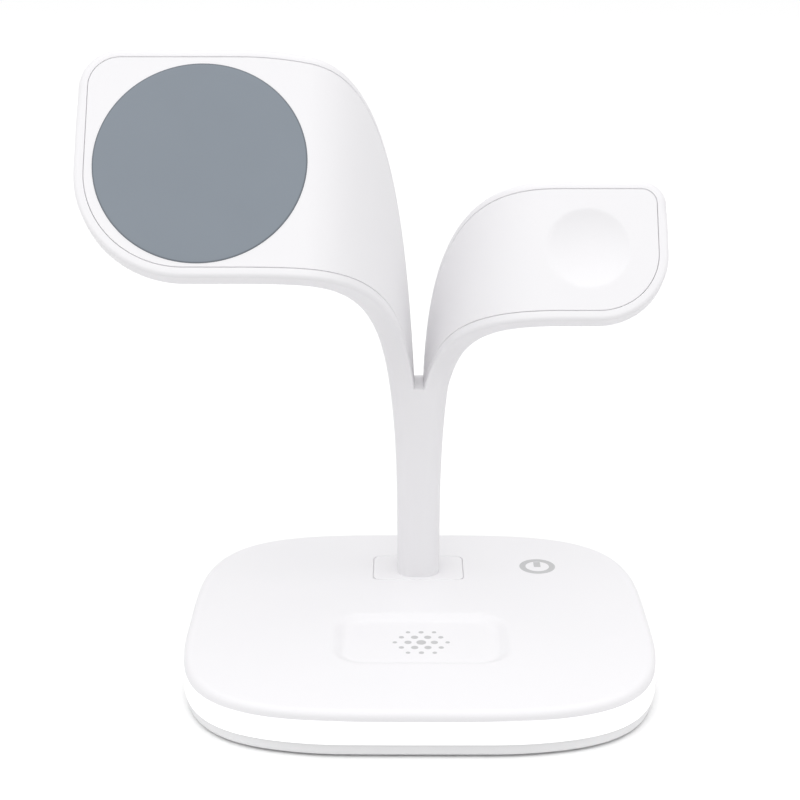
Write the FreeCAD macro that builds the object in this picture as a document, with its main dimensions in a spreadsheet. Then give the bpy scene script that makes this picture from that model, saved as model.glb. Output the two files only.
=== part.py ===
import FreeCAD, Part
import Sketcher
import math
import os
from FreeCAD import Placement, Rotation, Vector

doc = FreeCAD.newDocument("charging_station")
sheet = doc.addObject("Spreadsheet::Sheet", "Sizes")

# Driving sizes, in mm and degrees, with the desk at Z 0 and the front at -Y
SIZES = (
    # Base
    ("base_width", 128.0),
    ("base_depth", 116.0),
    ("base_power", 3.63),
    ("mat_inset", 8.0),
    ("mat_thickness", 1.6),
    ("mat_proud", 0.6),
    ("tray_inset", 0.45),
    ("tray_top", 4.0),
    ("tray_floor", 3.2),
    ("tray_edge_radius", 1.2),
    ("band_height", 6.45),
    ("band_wall", 2.5),
    ("cover_height", 2.6),
    ("cover_roof", 2.0),
    ("cover_edge_radius", 2.0),
    ("rib_inset", 5.2),
    ("rib_wall", 1.6),
    ("rear_gap", 31.0),
    # Earbud recess
    ("recess_x", 0.5),
    ("recess_y", -15.4),
    ("recess_length", 49.0),
    ("recess_width", 31.6),
    ("recess_corner", 9.0),
    ("recess_slope", 4.0),
    ("recess_depth", 1.5),
    ("recess_floor_wall", 1.8),
    # Screw posts of the base
    ("post_side_margin", 15.0),
    ("post_end_margin", 36.0),
    ("post_diameter", 6.4),
    ("screw_diameter", 2.2),
    ("screw_head", 4.6),
    ("screw_head_height", 1.7),
    # Stem and its foot plate
    ("foot_length", 26.4),
    ("foot_width", 17.2),
    ("foot_corner", 2.0),
    ("stem_front", 24.7),
    ("stem_depth", 13.7),
    ("stem_half_width", 6.2),
    ("stem_flare", 2.15),
    ("stem_corner", 4.6),
    ("slot_half_width", 1.3),
    ("slot_level", 71.0),
    # Leaves
    ("leaf_lean", 56.0),
    ("leaf_thickness", 7.2),
    ("leaf_edge_radius", 2.0),
    ("leaf_rim", 2.7),
    ("leaf_back_wall", 1.6),
    ("leaf_ledge", 1.2),
    ("skin_thickness", 1.6),
    ("duct_depth", 5.0),
    ("skin_gap", 0.12),
    # Phone leaf, measured from the middle of its pad
    ("phone_x", -57.3),
    ("phone_y", 2.4),
    ("phone_z", 140.3),
    ("phone_up_margin", 4.6),
    ("phone_down_margin", 3.6),
    ("phone_tip_margin", 4.8),
    ("phone_top_corner", 11.0),
    ("phone_low_corner", 29.5),
    ("phone_bend_x", -48.0),
    ("phone_fold_margin", -0.9),
    ("phone_back_sink", 1.75),
    ("phone_back_slope", 0.19),
    ("phone_back_reach", 14.3),
    ("phone_back_drop", 78.0),
    ("phone_back_swing", 3.2),
    ("phone_front_sink", 0.4),
    ("phone_front_slope", 0.07),
    ("phone_front_reach", 18.8),
    ("phone_front_drop", 23.9),
    ("phone_front_swing", 3.4),
    ("pad_diameter", 56.0),
    ("pad_thickness", 1.0),
    ("pad_proud", 0.2),
    # Watch leaf, measured from the middle of its dish
    ("watch_x", 45.0),
    ("watch_y", 9.0),
    ("watch_z", 116.0),
    ("watch_up_margin", 8.4),
    ("watch_down_margin", 9.1),
    ("watch_tip_margin", 10.3),
    ("watch_top_corner", 6.8),
    ("watch_low_corner", 19.2),
    ("watch_bend_x", 43.0),
    ("watch_fold_margin", -4.2),
    ("watch_back_sink", 0.0),
    ("watch_back_slope", 0.0),
    ("watch_back_reach", 17.8),
    ("watch_back_drop", 52.8),
    ("watch_back_swing", 0.8),
    ("watch_front_sink", 0.0),
    ("watch_front_slope", 0.0),
    ("watch_front_reach", 23.9),
    ("watch_front_drop", 16.1),
    ("watch_front_swing", 4.3),
    ("dish_diameter", 22.4),
    ("dish_depth", 1.9),
    ("dish_wall", 1.3),
    # Coils, magnets and shields
    ("phone_coil_margin", 1.8),
    ("phone_coil_inner", 20.0),
    ("phone_coil_height", 1.3),
    ("phone_shield_margin", 1.3),
    ("phone_shield_height", 1.0),
    ("magnet_margin", 0.8),
    ("magnet_width", 3.9),
    ("magnet_height", 2.2),
    ("magnet_gap_angle", 4.0),
    ("watch_coil_outer", 22.0),
    ("watch_coil_inner", 11.0),
    ("watch_coil_height", 1.2),
    ("watch_shield_height", 0.8),
    ("watch_magnet_diameter", 9.0),
    ("earbud_coil_length", 42.0),
    ("earbud_coil_width", 26.0),
    ("earbud_coil_height", 1.1),
    ("earbud_coil_turns_width", 8.0),
    ("earbud_shield_height", 0.8),
    # Board, inlet and light
    ("board_bottom", 4.6),
    ("board_thickness", 1.4),
    ("inlet_width", 8.94),
    ("inlet_height", 3.2),
    ("inlet_length", 8.6),
    ("inlet_wall", 0.3),
    ("inlet_setback", 0.2),
    ("inlet_clearance", 0.4),
    ("tongue_width", 6.7),
    ("tongue_height", 0.7),
    ("touch_x", 35.5),
    ("touch_y", 32.5),
    ("touch_diameter", 7.0),
    ("touch_wire", 0.6),
    ("lamp_count", 20),
    ("lamp_length", 3.0),
    ("lamp_height", 1.4),
    ("strip_thickness", 0.3),
    ("strip_height", 3.2),
    ("ballast_length", 62.0),
    ("ballast_width", 50.0),
    ("ballast_height", 2.2),
)

for row, (name, value) in enumerate(SIZES, 1):
    sheet.set("A%d" % row, name)
    sheet.set("B%d" % row, str(value))
    sheet.setAlias("B%d" % row, name)
doc.recompute()


def size(name):
    """Value of one driving size."""
    return float(sheet.get(name))


# Heights and half sizes that follow from the driving sizes
half_x = size("base_width") / 2
half_y = size("base_depth") / 2
tray_bottom = size("mat_proud")
tray_top = size("tray_top")
band_top = tray_top + size("band_height")
base_top = band_top + size("cover_height")
roof_under = base_top - size("cover_roof")
recess_under = base_top - size("recess_depth") - size("recess_floor_wall")
board_top = size("board_bottom") + size("board_thickness")
inlet_z = board_top + size("inlet_height") / 2
stem_front = size("stem_front")
stem_back = stem_front + size("stem_depth")
stem_mid = (stem_front + stem_back) / 2
leaf_rotation = Rotation(Vector(1, 0, 0), size("leaf_lean"))
along = leaf_rotation.multVec(Vector(0, 1, 0))
outward = leaf_rotation.multVec(Vector(0, 0, 1))
nodes = []


def node(obj, label):
    """Name one finished sub-part."""
    obj.Label = label
    nodes.append(obj)
    return obj


def feature(label, shape, spot=Vector(0, 0, 0)):
    """Sub-part whose form is worked out from the sheet by formula."""
    obj = doc.addObject("Part::Feature", label)
    obj.Shape = shape
    obj.Placement = Placement(spot, Rotation())
    return node(obj, label)


# Shapes of the base
def arc_from(start, way, end):
    """Arc that leaves one point in a given direction and ends at another point."""
    chord = end - start
    normal = Vector(-way.y, way.x, 0)
    lift = chord.dot(normal)
    if abs(lift) < 1e-6:
        return Part.LineSegment(start, end).toShape()
    radius = chord.dot(chord) / (2 * lift)
    middle = start + normal * radius
    outward_way = (start + end) * 0.5 - middle
    outward_way.normalize()
    return Part.Arc(start, middle + outward_way * abs(radius), end).toShape()


def squircle(inset, z):
    """Superellipse face of the base outline, drawn in by an inset, as pairs of arcs that join smoothly."""
    power = size("base_power")
    a = half_x - inset
    b = half_y - inset
    stops = []
    for quarter in range(4):
        for angle in (0, 32, 45, 58):
            stops.append(math.radians(90 * quarter + angle))
    points = []
    ways = []
    for angle in stops:
        c = math.cos(angle)
        s = math.sin(angle)
        reach = (abs(c) ** power + abs(s) ** power) ** (-1 / power)
        x = reach * c
        y = reach * s
        points.append(Vector(a * x, b * y, z))
        back = -math.copysign(abs(y) ** (power - 1), y) / b
        up = math.copysign(abs(x) ** (power - 1), x) / a
        way = Vector(back, up, 0)
        way.normalize()
        ways.append(way)
    edges = []
    for k in range(len(points)):
        start = points[k]
        end = points[(k + 1) % len(points)]
        first = ways[k]
        last = ways[(k + 1) % len(points)]
        chord = end - start
        bend = 2 * (1 - first.dot(last))
        pull = chord.dot(first + last)
        reach = (math.sqrt(pull * pull + bend * chord.dot(chord)) - pull) / bend
        joint = (start + end + (first - last) * reach) * 0.5
        edges.append(arc_from(start, first, joint))
        edges.append(arc_from(end, last * -1, joint))
    return Part.Face(Part.Wire(Part.sortEdges(edges)[0]))


def slab(inset, low, high):
    """Solid of the base outline between two heights."""
    return squircle(inset, low).extrude(Vector(0, 0, high - low))


def ring(outer, inner, low, high):
    """Wall that follows the base outline between two insets."""
    return slab(outer, low, high).cut(slab(inner, low - 1, high + 1))


def rod(x, y, low, high, diameter):
    """Upright cylinder."""
    return Part.makeCylinder(diameter / 2, high - low, Vector(x, y, low))


def rounded_block(x, y, low, high, length, width, corner):
    """Upright block with rounded vertical edges, centred on x and y."""
    block = Part.makeBox(length, width, high - low, Vector(x - length / 2, y - width / 2, low))
    upright = [e for e in block.Edges if abs(e.BoundBox.ZLength - (high - low)) < 1e-6]
    return block.makeFillet(corner, upright)


def rounded_outline(x, y, z, length, width, corner):
    """Closed rounded rectangle at one height, for lofts."""
    a = length / 2
    b = width / 2
    r = corner
    q = r * (1 - math.sqrt(0.5))
    edges = []
    corners = ((a, b, 1, 1), (-a, b, -1, 1), (-a, -b, -1, -1), (a, -b, 1, -1))
    stops = []
    for cx, cy, sx, sy in corners:
        first = Vector(x + cx, y + cy - sy * r, z)
        middle = Vector(x + cx - sx * q, y + cy - sy * q, z)
        last = Vector(x + cx - sx * r, y + cy, z)
        if sx * sy < 0:
            first, last = last, first
        stops.append((first, middle, last))
    for k in range(4):
        first, middle, last = stops[k]
        edges.append(Part.Arc(first, middle, last).toShape())
        edges.append(Part.LineSegment(last, stops[(k + 1) % 4][0]).toShape())
    return Part.Wire(edges)


post_x = half_x - size("post_side_margin")
post_y = half_y - size("post_end_margin")
posts = [(sx * post_x, sy * post_y) for sx in (1, -1) for sy in (1, -1)]
board_fixings = ((-10.5, half_y - 13.0), (half_x - 24.0, -25.0), (half_x - 35.0, 6.0))
foot_fixings = ((-9.7, stem_mid), (9.7, stem_mid))
seat_level = size("tray_floor") + 2.0

# Anti-slip mat
mat = slab(size("mat_inset"), 0, size("mat_thickness"))
feature("anti_slip_mat", mat)

# Bottom tray with screw posts, board posts and the wall that carries the lamps
tray = slab(size("tray_inset"), tray_bottom, tray_top)
low_edges = [e for e in tray.Edges if e.BoundBox.ZMax < tray_bottom + 1e-3]
tray = tray.makeFillet(size("tray_edge_radius"), low_edges)
tray = tray.cut(slab(size("rib_inset") + size("rib_wall"), size("tray_floor"), tray_top + 1))
rear_corner = Vector(-size("rear_gap") / 2, half_y / 2, size("tray_floor"))
rear_cut = Part.makeBox(size("rear_gap"), half_y, 20, rear_corner)
rib = ring(size("rib_inset"), size("rib_inset") + size("rib_wall"), size("tray_floor") - 0.5, band_top - 0.4)
tray = tray.fuse(rib.cut(rear_cut))
for x, y in posts:
    tray = tray.fuse(rod(x, y, size("tray_floor") - 0.5, seat_level, size("post_diameter") + 1.6))
for x, y in board_fixings:
    tray = tray.fuse(rod(x, y, size("tray_floor") - 0.5, size("board_bottom"), 4.8))
tray = tray.cut(slab(size("mat_inset") - 0.1, tray_bottom - 1, size("mat_thickness")))
for x, y in posts:
    head_level = size("mat_thickness") + size("screw_head_height") + 0.1
    tray = tray.cut(rod(x, y, 0, head_level, size("screw_head") + 0.4))
    tray = tray.cut(rod(x, y, 0, seat_level + 1, size("screw_diameter") + 0.3))
for x, y in board_fixings:
    tray = tray.cut(rod(x, y, size("tray_floor") - 0.8, size("board_bottom") + 1, 1.6))
feature("base_bottom_tray", tray)

# Light band, a milky diffuser ring with the opening for the plug at the rear
band = ring(0, size("band_wall"), tray_top, band_top)
hole_width = size("inlet_width") + 2 * size("inlet_clearance")
hole_height = size("inlet_height") + 2 * size("inlet_clearance")
hole = rounded_block(0, 0, 0, 20, hole_width, hole_height, hole_height / 2 - 0.05)
hole.Placement = Placement(Vector(0, half_y + 8, inlet_z), Rotation(Vector(1, 0, 0), 90))
band = band.cut(hole)
feature("light_band", band)

# Top cover with the earbud recess, the stem pocket and the screw posts
cover = slab(0, band_top, base_top)
top_edges = [e for e in cover.Edges if e.BoundBox.ZMin > base_top - 1e-3]
cover = cover.makeFillet(size("cover_edge_radius"), top_edges)
cover = cover.cut(slab(size("band_wall") + 0.9, band_top - 1, roof_under))
lip = ring(size("band_wall") + 0.1, size("band_wall") + 0.9, band_top - 0.9, roof_under)
cover = cover.fuse(lip)
recess_x = size("recess_x")
recess_y = size("recess_y")
recess_length = size("recess_length")
recess_width = size("recess_width")
recess_corner = size("recess_corner")
cover = cover.fuse(rounded_block(recess_x, recess_y, recess_under, roof_under + 0.5,
                                 recess_length + 3, recess_width + 3, recess_corner + 1.5))
pocket_floor = band_top
pocket_under = pocket_floor - 1.8
foot_y = stem_mid
cover = cover.fuse(rounded_block(0, foot_y, pocket_under, roof_under + 0.5,
                                 size("foot_length") + 4, size("foot_width") + 4, 3))
for x, y in posts:
    cover = cover.fuse(rod(x, y, seat_level, roof_under + 0.5, size("post_diameter")))
depth = size("recess_depth")
slope = size("recess_slope")
above = 0.3
spread = 2 * slope * above / depth
upper = rounded_outline(recess_x, recess_y, base_top + above, recess_length + spread, recess_width + spread,
                        recess_corner + spread / 2)
lower = rounded_outline(recess_x, recess_y, base_top - depth, recess_length - 2 * slope, recess_width - 2 * slope,
                        recess_corner - slope)
dish_cut = Part.makeLoft([upper, lower], True, True)
cover = cover.cut(dish_cut)
cover = cover.cut(rounded_block(0, foot_y, pocket_floor, base_top + 1,
                                size("foot_length") + 0.16, size("foot_width") + 0.16, size("foot_corner") + 0.08))
cover = cover.cut(rounded_block(0, foot_y, pocket_under - 1, pocket_floor + 1, 8.4, 6.4, 1.5))
for x, y in foot_fixings:
    cover = cover.cut(rod(x, y, pocket_under - 1, pocket_floor + 1, size("screw_diameter") + 0.3))
for x, y in posts:
    cover = cover.cut(rod(x, y, seat_level - 1, roof_under - 0.6, size("screw_diameter") - 0.2))
feature("base_top_cover", cover)


# Leaf arms: two edge curves joined by straight sections that turn from the stem to the leaf
turn_start = 0.42
shoulder_share = 0.2


def fold_share(t):
    """Share of the fold that a place along the whole bend has passed."""
    return max((t - shoulder_share) / (1 - shoulder_share), 0)


def bezier(p, q, r, s, t):
    """Point of a cubic curve with four control points."""
    u = 1 - t
    return p * (u ** 3) + q * (3 * u * u * t) + r * (3 * u * t * t) + s * (t ** 3)


class Arm:
    """One leaf of the sprout with the bend that joins it to the stem."""

    def __init__(self, which, side, seat):
        self.side = side
        self.middle = Vector(size(which + "_x"), size(which + "_y"), size(which + "_z"))
        self.up = seat / 2 + size(which + "_up_margin")
        self.down = seat / 2 + size(which + "_down_margin")
        self.tip = seat / 2 + size(which + "_tip_margin")
        self.top_corner = size(which + "_top_corner")
        self.low_corner = size(which + "_low_corner")
        self.bend = size(which + "_bend_x")
        self.fold = self.middle.x - side * (seat / 2 + size(which + "_fold_margin"))
        self.shoulder = []
        self.edge = []
        for name, run, end_y in (("_front", -self.down, stem_front), ("_back", self.up, stem_back)):
            sink = size(which + name + "_sink")
            turn = Vector(-side, 0, 0) - along * size(which + name + "_slope")
            start = self.middle + along * run + Vector(self.bend - self.middle.x, 0, 0)
            knee = self.middle + along * (run - sink) + Vector(self.fold - self.middle.x, 0, 0)
            end = Vector(side * size("slot_half_width"), end_y, size("slot_level"))
            grip = abs(self.fold - self.bend) / 3
            lift = Vector(side * size(which + name + "_swing"), 0, size(which + name + "_drop"))
            reach = size(which + name + "_reach")
            self.shoulder.append([start, start - Vector(side * grip, 0, 0), knee - turn * grip, knee])
            self.edge.append([knee, knee + turn * reach, end + lift, end])

    def lean(self, u):
        """Lean of one section of the fold, from that of the leaf to level at the stem."""
        share = min(max((u - turn_start) / (1 - turn_start), 0), 1)
        ease = share * share * (3 - 2 * share)
        return math.radians(size("leaf_lean")) * (1 - ease)

    def partner(self, u):
        """Place on the back edge that the section through one front edge point meets."""
        if u >= 1:
            return 1.0
        lean = self.lean(u)
        across = Vector(0, -math.sin(lean), math.cos(lean))
        start = bezier(*self.edge[0], u)
        near = 0.0
        far = 1.0
        for _ in range(40):
            middle = (near + far) / 2
            if (bezier(*self.edge[1], middle) - start).dot(across) > 0:
                near = middle
            else:
                far = middle
        return (near + far) / 2

    def frame(self, t):
        """Front edge point, back edge point and face direction of one section."""
        if t <= shoulder_share:
            s = t / shoulder_share
            return bezier(*self.shoulder[0], s), bezier(*self.shoulder[1], s), Vector(outward)
        u = fold_share(t)
        low = bezier(*self.edge[0], u)
        high = bezier(*self.edge[1], self.partner(u))
        u0 = max(u - 1e-3, 0)
        u1 = min(u + 1e-3, 1)
        run = bezier(*self.edge[0], u1) - bezier(*self.edge[0], u0)
        run = run + bezier(*self.edge[1], self.partner(u1)) - bezier(*self.edge[1], self.partner(u0))
        face = run.cross(high - low) * (-self.side)
        face.normalize()
        blend = min(max((u - 0.8) / 0.2, 0), 1)
        blend = blend * blend * (3 - 2 * blend)
        face = face * (1 - blend) + Vector(-self.side, 0, 0) * blend
        width = high - low
        width.normalize()
        face = face - width * face.dot(width)
        face.normalize()
        return low, high, face

    def section(self, t, near, far, rim):
        """Closed section between two depths below the face, drawn in from both edges by a rim."""
        low, high, face = self.frame(t)
        width = high - low
        width.normalize()
        low = low + width * rim
        high = high - width * rim
        corners = [low - face * near, high - face * near, high - face * far, low - face * far]
        return Part.makePolygon(corners + [corners[0]])

    def shell(self, t, depth, radii, wide, narrow, floor):
        """Section of the leaf shell with the seat of the cover and the hollow below it open to the face."""
        low, high, face = self.frame(t)
        width = high - low
        width.normalize()
        stops = corner_stops([low, high, high - face * depth, low - face * depth], radii)
        ledge = skin + size("skin_gap")
        notch = [stops[0][2], low + width * wide]
        notch.append(low + width * wide - face * ledge)
        notch.append(low + width * narrow - face * ledge)
        notch.append(low + width * narrow - face * floor)
        notch.append(high - width * narrow - face * floor)
        notch.append(high - width * narrow - face * ledge)
        notch.append(high - width * wide - face * ledge)
        notch.append(high - width * wide)
        notch.append(stops[1][0])
        edges = [Part.Arc(*stops[0]).toShape()]
        for first, last in zip(notch[:-1], notch[1:]):
            edges.append(Part.LineSegment(first, last).toShape())
        for k in (1, 2, 3):
            edges.append(Part.Arc(*stops[k]).toShape())
            edges.append(Part.LineSegment(stops[k][2], stops[(k + 1) % 4][0]).toShape())
        return Part.Wire(edges)

    def plate(self, rim, low, high, spread):
        """Flat part of the leaf between two depths, up to the start of the bend."""
        s = self.side
        x_in = self.bend - self.middle.x
        x_tip = s * (self.tip - rim)
        top = self.up - rim
        bottom = rim - self.down
        r_top = max(self.top_corner - rim, 0.5)
        r_low = max(self.low_corner - rim, 0.5)
        k = 1 - math.sqrt(0.5)
        p = [
            Vector(x_in, bottom, low),
            Vector(x_tip - s * r_low, bottom, low),
            Vector(x_tip - s * r_low * k, bottom + r_low * k, low),
            Vector(x_tip, bottom + r_low, low),
            Vector(x_tip, top - r_top, low),
            Vector(x_tip - s * r_top * k, top - r_top * k, low),
            Vector(x_tip - s * r_top, top, low),
            Vector(x_in, top, low),
        ]
        edges = [
            Part.LineSegment(p[0], p[1]).toShape(),
            Part.Arc(p[1], p[2], p[3]).toShape(),
            Part.LineSegment(p[3], p[4]).toShape(),
            Part.Arc(p[4], p[5], p[6]).toShape(),
            Part.LineSegment(p[6], p[7]).toShape(),
            Part.LineSegment(p[7], p[0]).toShape(),
        ]
        solid = Part.Face(Part.Wire(edges)).extrude(Vector(0, 0, high - low))
        if solid.Volume < 0:
            solid.reverse()
        if spread > 0:
            rounded = []
            for edge in solid.Edges:
                box = edge.BoundBox
                level = box.ZLength < 1e-6
                joint = box.XLength < 1e-6 and abs(box.XMin - x_in) < 1e-6
                if level and not joint:
                    rounded.append(edge)
            solid = solid.makeFillet(spread, rounded)
        solid.Placement = Placement(self.middle, leaf_rotation)
        return solid


def corner_stops(corners, radii):
    """Start, middle and end of the arc at each corner of a closed outline."""
    count = len(corners)
    stops = []
    for k in range(count):
        here = corners[k]
        before = corners[k - 1] - here
        after = corners[(k + 1) % count] - here
        before.normalize()
        after.normalize()
        half = before.getAngle(after) / 2
        reach = radii[k] / math.tan(half)
        bisector = before + after
        bisector.normalize()
        middle = here + bisector * (radii[k] / math.sin(half) - radii[k])
        stops.append((here + before * reach, middle, here + after * reach))
    return stops


thickness = size("leaf_thickness")
edge_radius = size("leaf_edge_radius")
rim = size("leaf_rim")
skin = size("skin_thickness")
back_wall = size("leaf_back_wall")
slot_radius = 0.8
outer_corner = 2.8
shoulder_stops = (0, 0.04, 0.08, 0.12, 0.16, 0.2)
bend_stops = shoulder_stops + (0.23, 0.26, 0.3, 0.34, 0.39, 0.45, 0.52, 0.59, 0.66, 0.73, 0.8, 0.87, 0.93, 1)
skin_stops = bend_stops[:-1] + (0.996,)
channel_low = stem_mid - 3.0
channel_high = stem_mid + 3.0


def bend_radius(t):
    """Corner radii of the arm, from the leaf edges to the lips of the slot."""
    u = fold_share(t)
    inner = edge_radius + (slot_radius - edge_radius) * u ** 3
    outer = edge_radius + (outer_corner - edge_radius) * u ** 3
    return (inner, inner, outer, outer)


def stem_section(share):
    """Section of the stem at a share of its height, widening toward the slot."""
    z = base_top + (size("slot_level") - base_top) * share
    half = size("stem_half_width") + size("stem_flare") * share ** 3.5
    corner = size("stem_corner") + (outer_corner - size("stem_corner")) * share
    return rounded_outline(0, stem_mid, z, 2 * half, size("stem_depth"), corner)


def join(arm, plate, bend):
    """Leaf plate and bend made one solid by sewing them at their common section."""
    faces = []
    for solid in (plate, bend):
        for face in solid.Faces:
            if max(abs(v.X - arm.bend) for v in face.Vertexes) > 1e-4:
                faces.append(face)
    skin_faces = Part.makeCompound(faces)
    skin_faces.sewShape(0.002)
    solid = Part.makeSolid(skin_faces.Shells[0])
    if solid.Volume < 0:
        solid.reverse()
    whole = plate.Volume + bend.Volume
    if not solid.isValid() or abs(solid.Volume - whole) > 0.001 * whole:
        raise RuntimeError("leaf plate and bend do not join")
    return solid


def make_arm(which, side, seat):
    """Shell and cover of one leaf, each with its flat part and its bend."""
    arm = Arm(which, side, seat)
    outer_depth = size("stem_half_width") + size("stem_flare") - size("slot_half_width")
    seat_rim = rim - size("skin_gap")
    inner_rim = rim + size("leaf_ledge")
    floor = thickness - back_wall

    def shell_section(t):
        share = fold_share(t)
        depth_here = thickness + (outer_depth - thickness) * share
        floor_here = floor + (size("duct_depth") - floor) * share
        return arm.shell(t, depth_here, bend_radius(t), seat_rim, inner_rim, floor_here)

    flat = arm.plate(0, -thickness, 0, edge_radius)
    flat = flat.cut(arm.plate(seat_rim, -skin - size("skin_gap"), 1.0, 0))
    flat = flat.cut(arm.plate(inner_rim, -floor, 1.0, 0))
    bend = Part.makeLoft([shell_section(t) for t in bend_stops], True, False)
    cover_bend = Part.makeLoft([arm.section(t, 0, skin, rim) for t in skin_stops], True, False)
    return arm, join(arm, flat.Solids[0], bend), join(arm, arm.plate(rim, -skin, 0, 0), cover_bend)


phone_arm, phone_shell, phone_skin = make_arm("phone", -1, size("pad_diameter"))
watch_arm, watch_shell, watch_skin = make_arm("watch", 1, size("dish_diameter"))

# Sprout frame: foot plate, stem and both leaf shells in one moulding
stem = Part.makeLoft([stem_section(k / 6) for k in range(7)], True, False)
foot = rounded_block(0, foot_y, band_top, base_top,
                     size("foot_length"), size("foot_width"), size("foot_corner"))
slot_level = size("slot_level")
channel_top = base_top + (slot_level - base_top) * 0.86
channel_depth = channel_high - channel_low
channel_corner = Vector(-4.0, channel_low, band_top - 1)
channel = Part.makeBox(8.0, channel_depth, channel_top - band_top + 1, channel_corner)
stem = foot.fuse(stem).cut(channel)
duct_near = size("slot_half_width") + 1.0
duct_far = size("slot_half_width") + size("duct_depth") - 0.3
for x in (-duct_far, duct_near):
    corner = Vector(x, channel_low + 0.3, channel_top - 6)
    duct_height = slot_level + 1 - corner.z
    stem = stem.cut(Part.makeBox(duct_far - duct_near, channel_depth - 0.6, duct_height, corner))
for x, y in foot_fixings:
    stem = stem.cut(rod(x, y, band_top - 1, base_top - 0.5, size("screw_diameter") - 0.2))
sprout = stem.fuse(phone_shell).fuse(watch_shell)
if len(sprout.Solids) != 1:
    raise RuntimeError("stem and leaves are not one piece")
feature("sprout_frame", sprout.Solids[0])

# Phone leaf cover with the seat of the pad
pad_depth = size("pad_thickness") - size("pad_proud")
pad_seat = Part.makeCylinder(size("pad_diameter") / 2 + 0.08, 4, Vector(0, 0, -pad_depth))
pad_seat.Placement = Placement(phone_arm.middle, leaf_rotation)
feature("phone_leaf_cover", phone_skin.cut(pad_seat))

# Watch leaf cover with the hollow dish moulded in
dish_radius = size("dish_diameter") / 2
dish_depth = size("dish_depth")
ball_radius = (dish_radius ** 2 + dish_depth ** 2) / (2 * dish_depth)
dish_under = dish_depth + size("dish_wall")
boss = Part.makeCylinder(dish_radius + 2.2, dish_under - 0.5, Vector(0, 0, -dish_under))
ball = Part.makeSphere(ball_radius)
boss.Placement = Placement(watch_arm.middle, leaf_rotation)
ball.Placement = Placement(watch_arm.middle + outward * (ball_radius - dish_depth), Rotation())
feature("watch_leaf_cover", watch_skin.fuse(boss).cut(ball))


# Pieces built from primitives and bodies whose sizes are bound to the sheet
def bind(obj, **rules):
    """Bind properties of one object to the sheet."""
    for key, rule in rules.items():
        obj.setExpression(key, rule)


def cylinder(name, diameter, height):
    """Cylinder with bound diameter and height."""
    obj = doc.addObject("Part::Cylinder", name)
    bind(obj, Radius="(%s) / 2" % diameter, Height=height)
    return obj


def box(name, length, width, height):
    """Block with bound sides."""
    obj = doc.addObject("Part::Box", name)
    bind(obj, Length=length, Width=width, Height=height)
    return obj


def place(obj, x, y, z):
    """Bind the position of one object."""
    bind(obj, **{"Placement.Base.x": x, "Placement.Base.y": y, "Placement.Base.z": z})
    return obj


def difference(name, base, tool):
    """One object with another taken away."""
    obj = doc.addObject("Part::Cut", name)
    obj.Base = base
    obj.Tool = tool
    return obj


def leaf_place(obj, arm, depth):
    """Put one piece at a depth below the face of a leaf."""
    obj.Placement = Placement(arm.middle - outward * depth, leaf_rotation)
    return obj


def origin_plane(body, role):
    """One of the planes of a body, found by its role."""
    return [f for f in body.Origin.OriginFeatures if f.Role == role][0]


def rectangle(body, name, role, length, width):
    """Centred rectangle sketch with bound sides."""
    sketch = body.newObject("Sketcher::SketchObject", name)
    sketch.AttachmentSupport = (origin_plane(body, role), [""])
    sketch.MapMode = "FlatFace"
    p = [Vector(-5, -4, 0), Vector(5, -4, 0), Vector(5, 4, 0), Vector(-5, 4, 0)]
    for k in range(4):
        sketch.addGeometry(Part.LineSegment(p[k], p[(k + 1) % 4]), False)
    for k in range(4):
        sketch.addConstraint(Sketcher.Constraint("Coincident", k, 2, (k + 1) % 4, 1))
    sketch.addConstraint(Sketcher.Constraint("Horizontal", 0))
    sketch.addConstraint(Sketcher.Constraint("Horizontal", 2))
    sketch.addConstraint(Sketcher.Constraint("Vertical", 1))
    sketch.addConstraint(Sketcher.Constraint("Vertical", 3))
    sketch.addConstraint(Sketcher.Constraint("Symmetric", 0, 1, 1, 2, -1, 1))
    k = sketch.addConstraint(Sketcher.Constraint("DistanceX", 0, 1, 0, 2, 10))
    sketch.setExpression("Constraints[%d]" % k, length)
    k = sketch.addConstraint(Sketcher.Constraint("DistanceY", 1, 1, 1, 2, 8))
    sketch.setExpression("Constraints[%d]" % k, width)
    return sketch


def edges_along(shape, axis):
    """Names of the straight edges that run along one axis."""
    names = []
    for k, edge in enumerate(shape.Edges, 1):
        spans = (edge.BoundBox.XLength, edge.BoundBox.YLength, edge.BoundBox.ZLength)
        if spans[axis] > 1e-6 and sum(spans) - spans[axis] < 1e-6:
            names.append("Edge%d" % k)
    return names


def padded_body(label, role, length, width, height, corner, axis):
    """Body with one padded rectangle and rounded corners."""
    body = doc.addObject("PartDesign::Body", label)
    sketch = rectangle(body, label + "_outline", role, length, width)
    pad = body.newObject("PartDesign::Pad", label + "_pad")
    pad.Profile = sketch
    bind(pad, Length=height)
    doc.recompute()
    fillet = body.newObject("PartDesign::Fillet", label + "_corners")
    fillet.Base = (pad, edges_along(pad.Shape, axis))
    bind(fillet, Radius=corner)
    doc.recompute()
    return body, fillet


def pocket(body, role, name, length, width, depth, reverse):
    """Centred rectangular pocket of a body."""
    sketch = rectangle(body, name + "_outline", role, length, width)
    cut = body.newObject("PartDesign::Pocket", name)
    cut.Profile = sketch
    cut.Reversed = reverse
    bind(cut, Length=depth)
    doc.recompute()
    return cut


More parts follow.
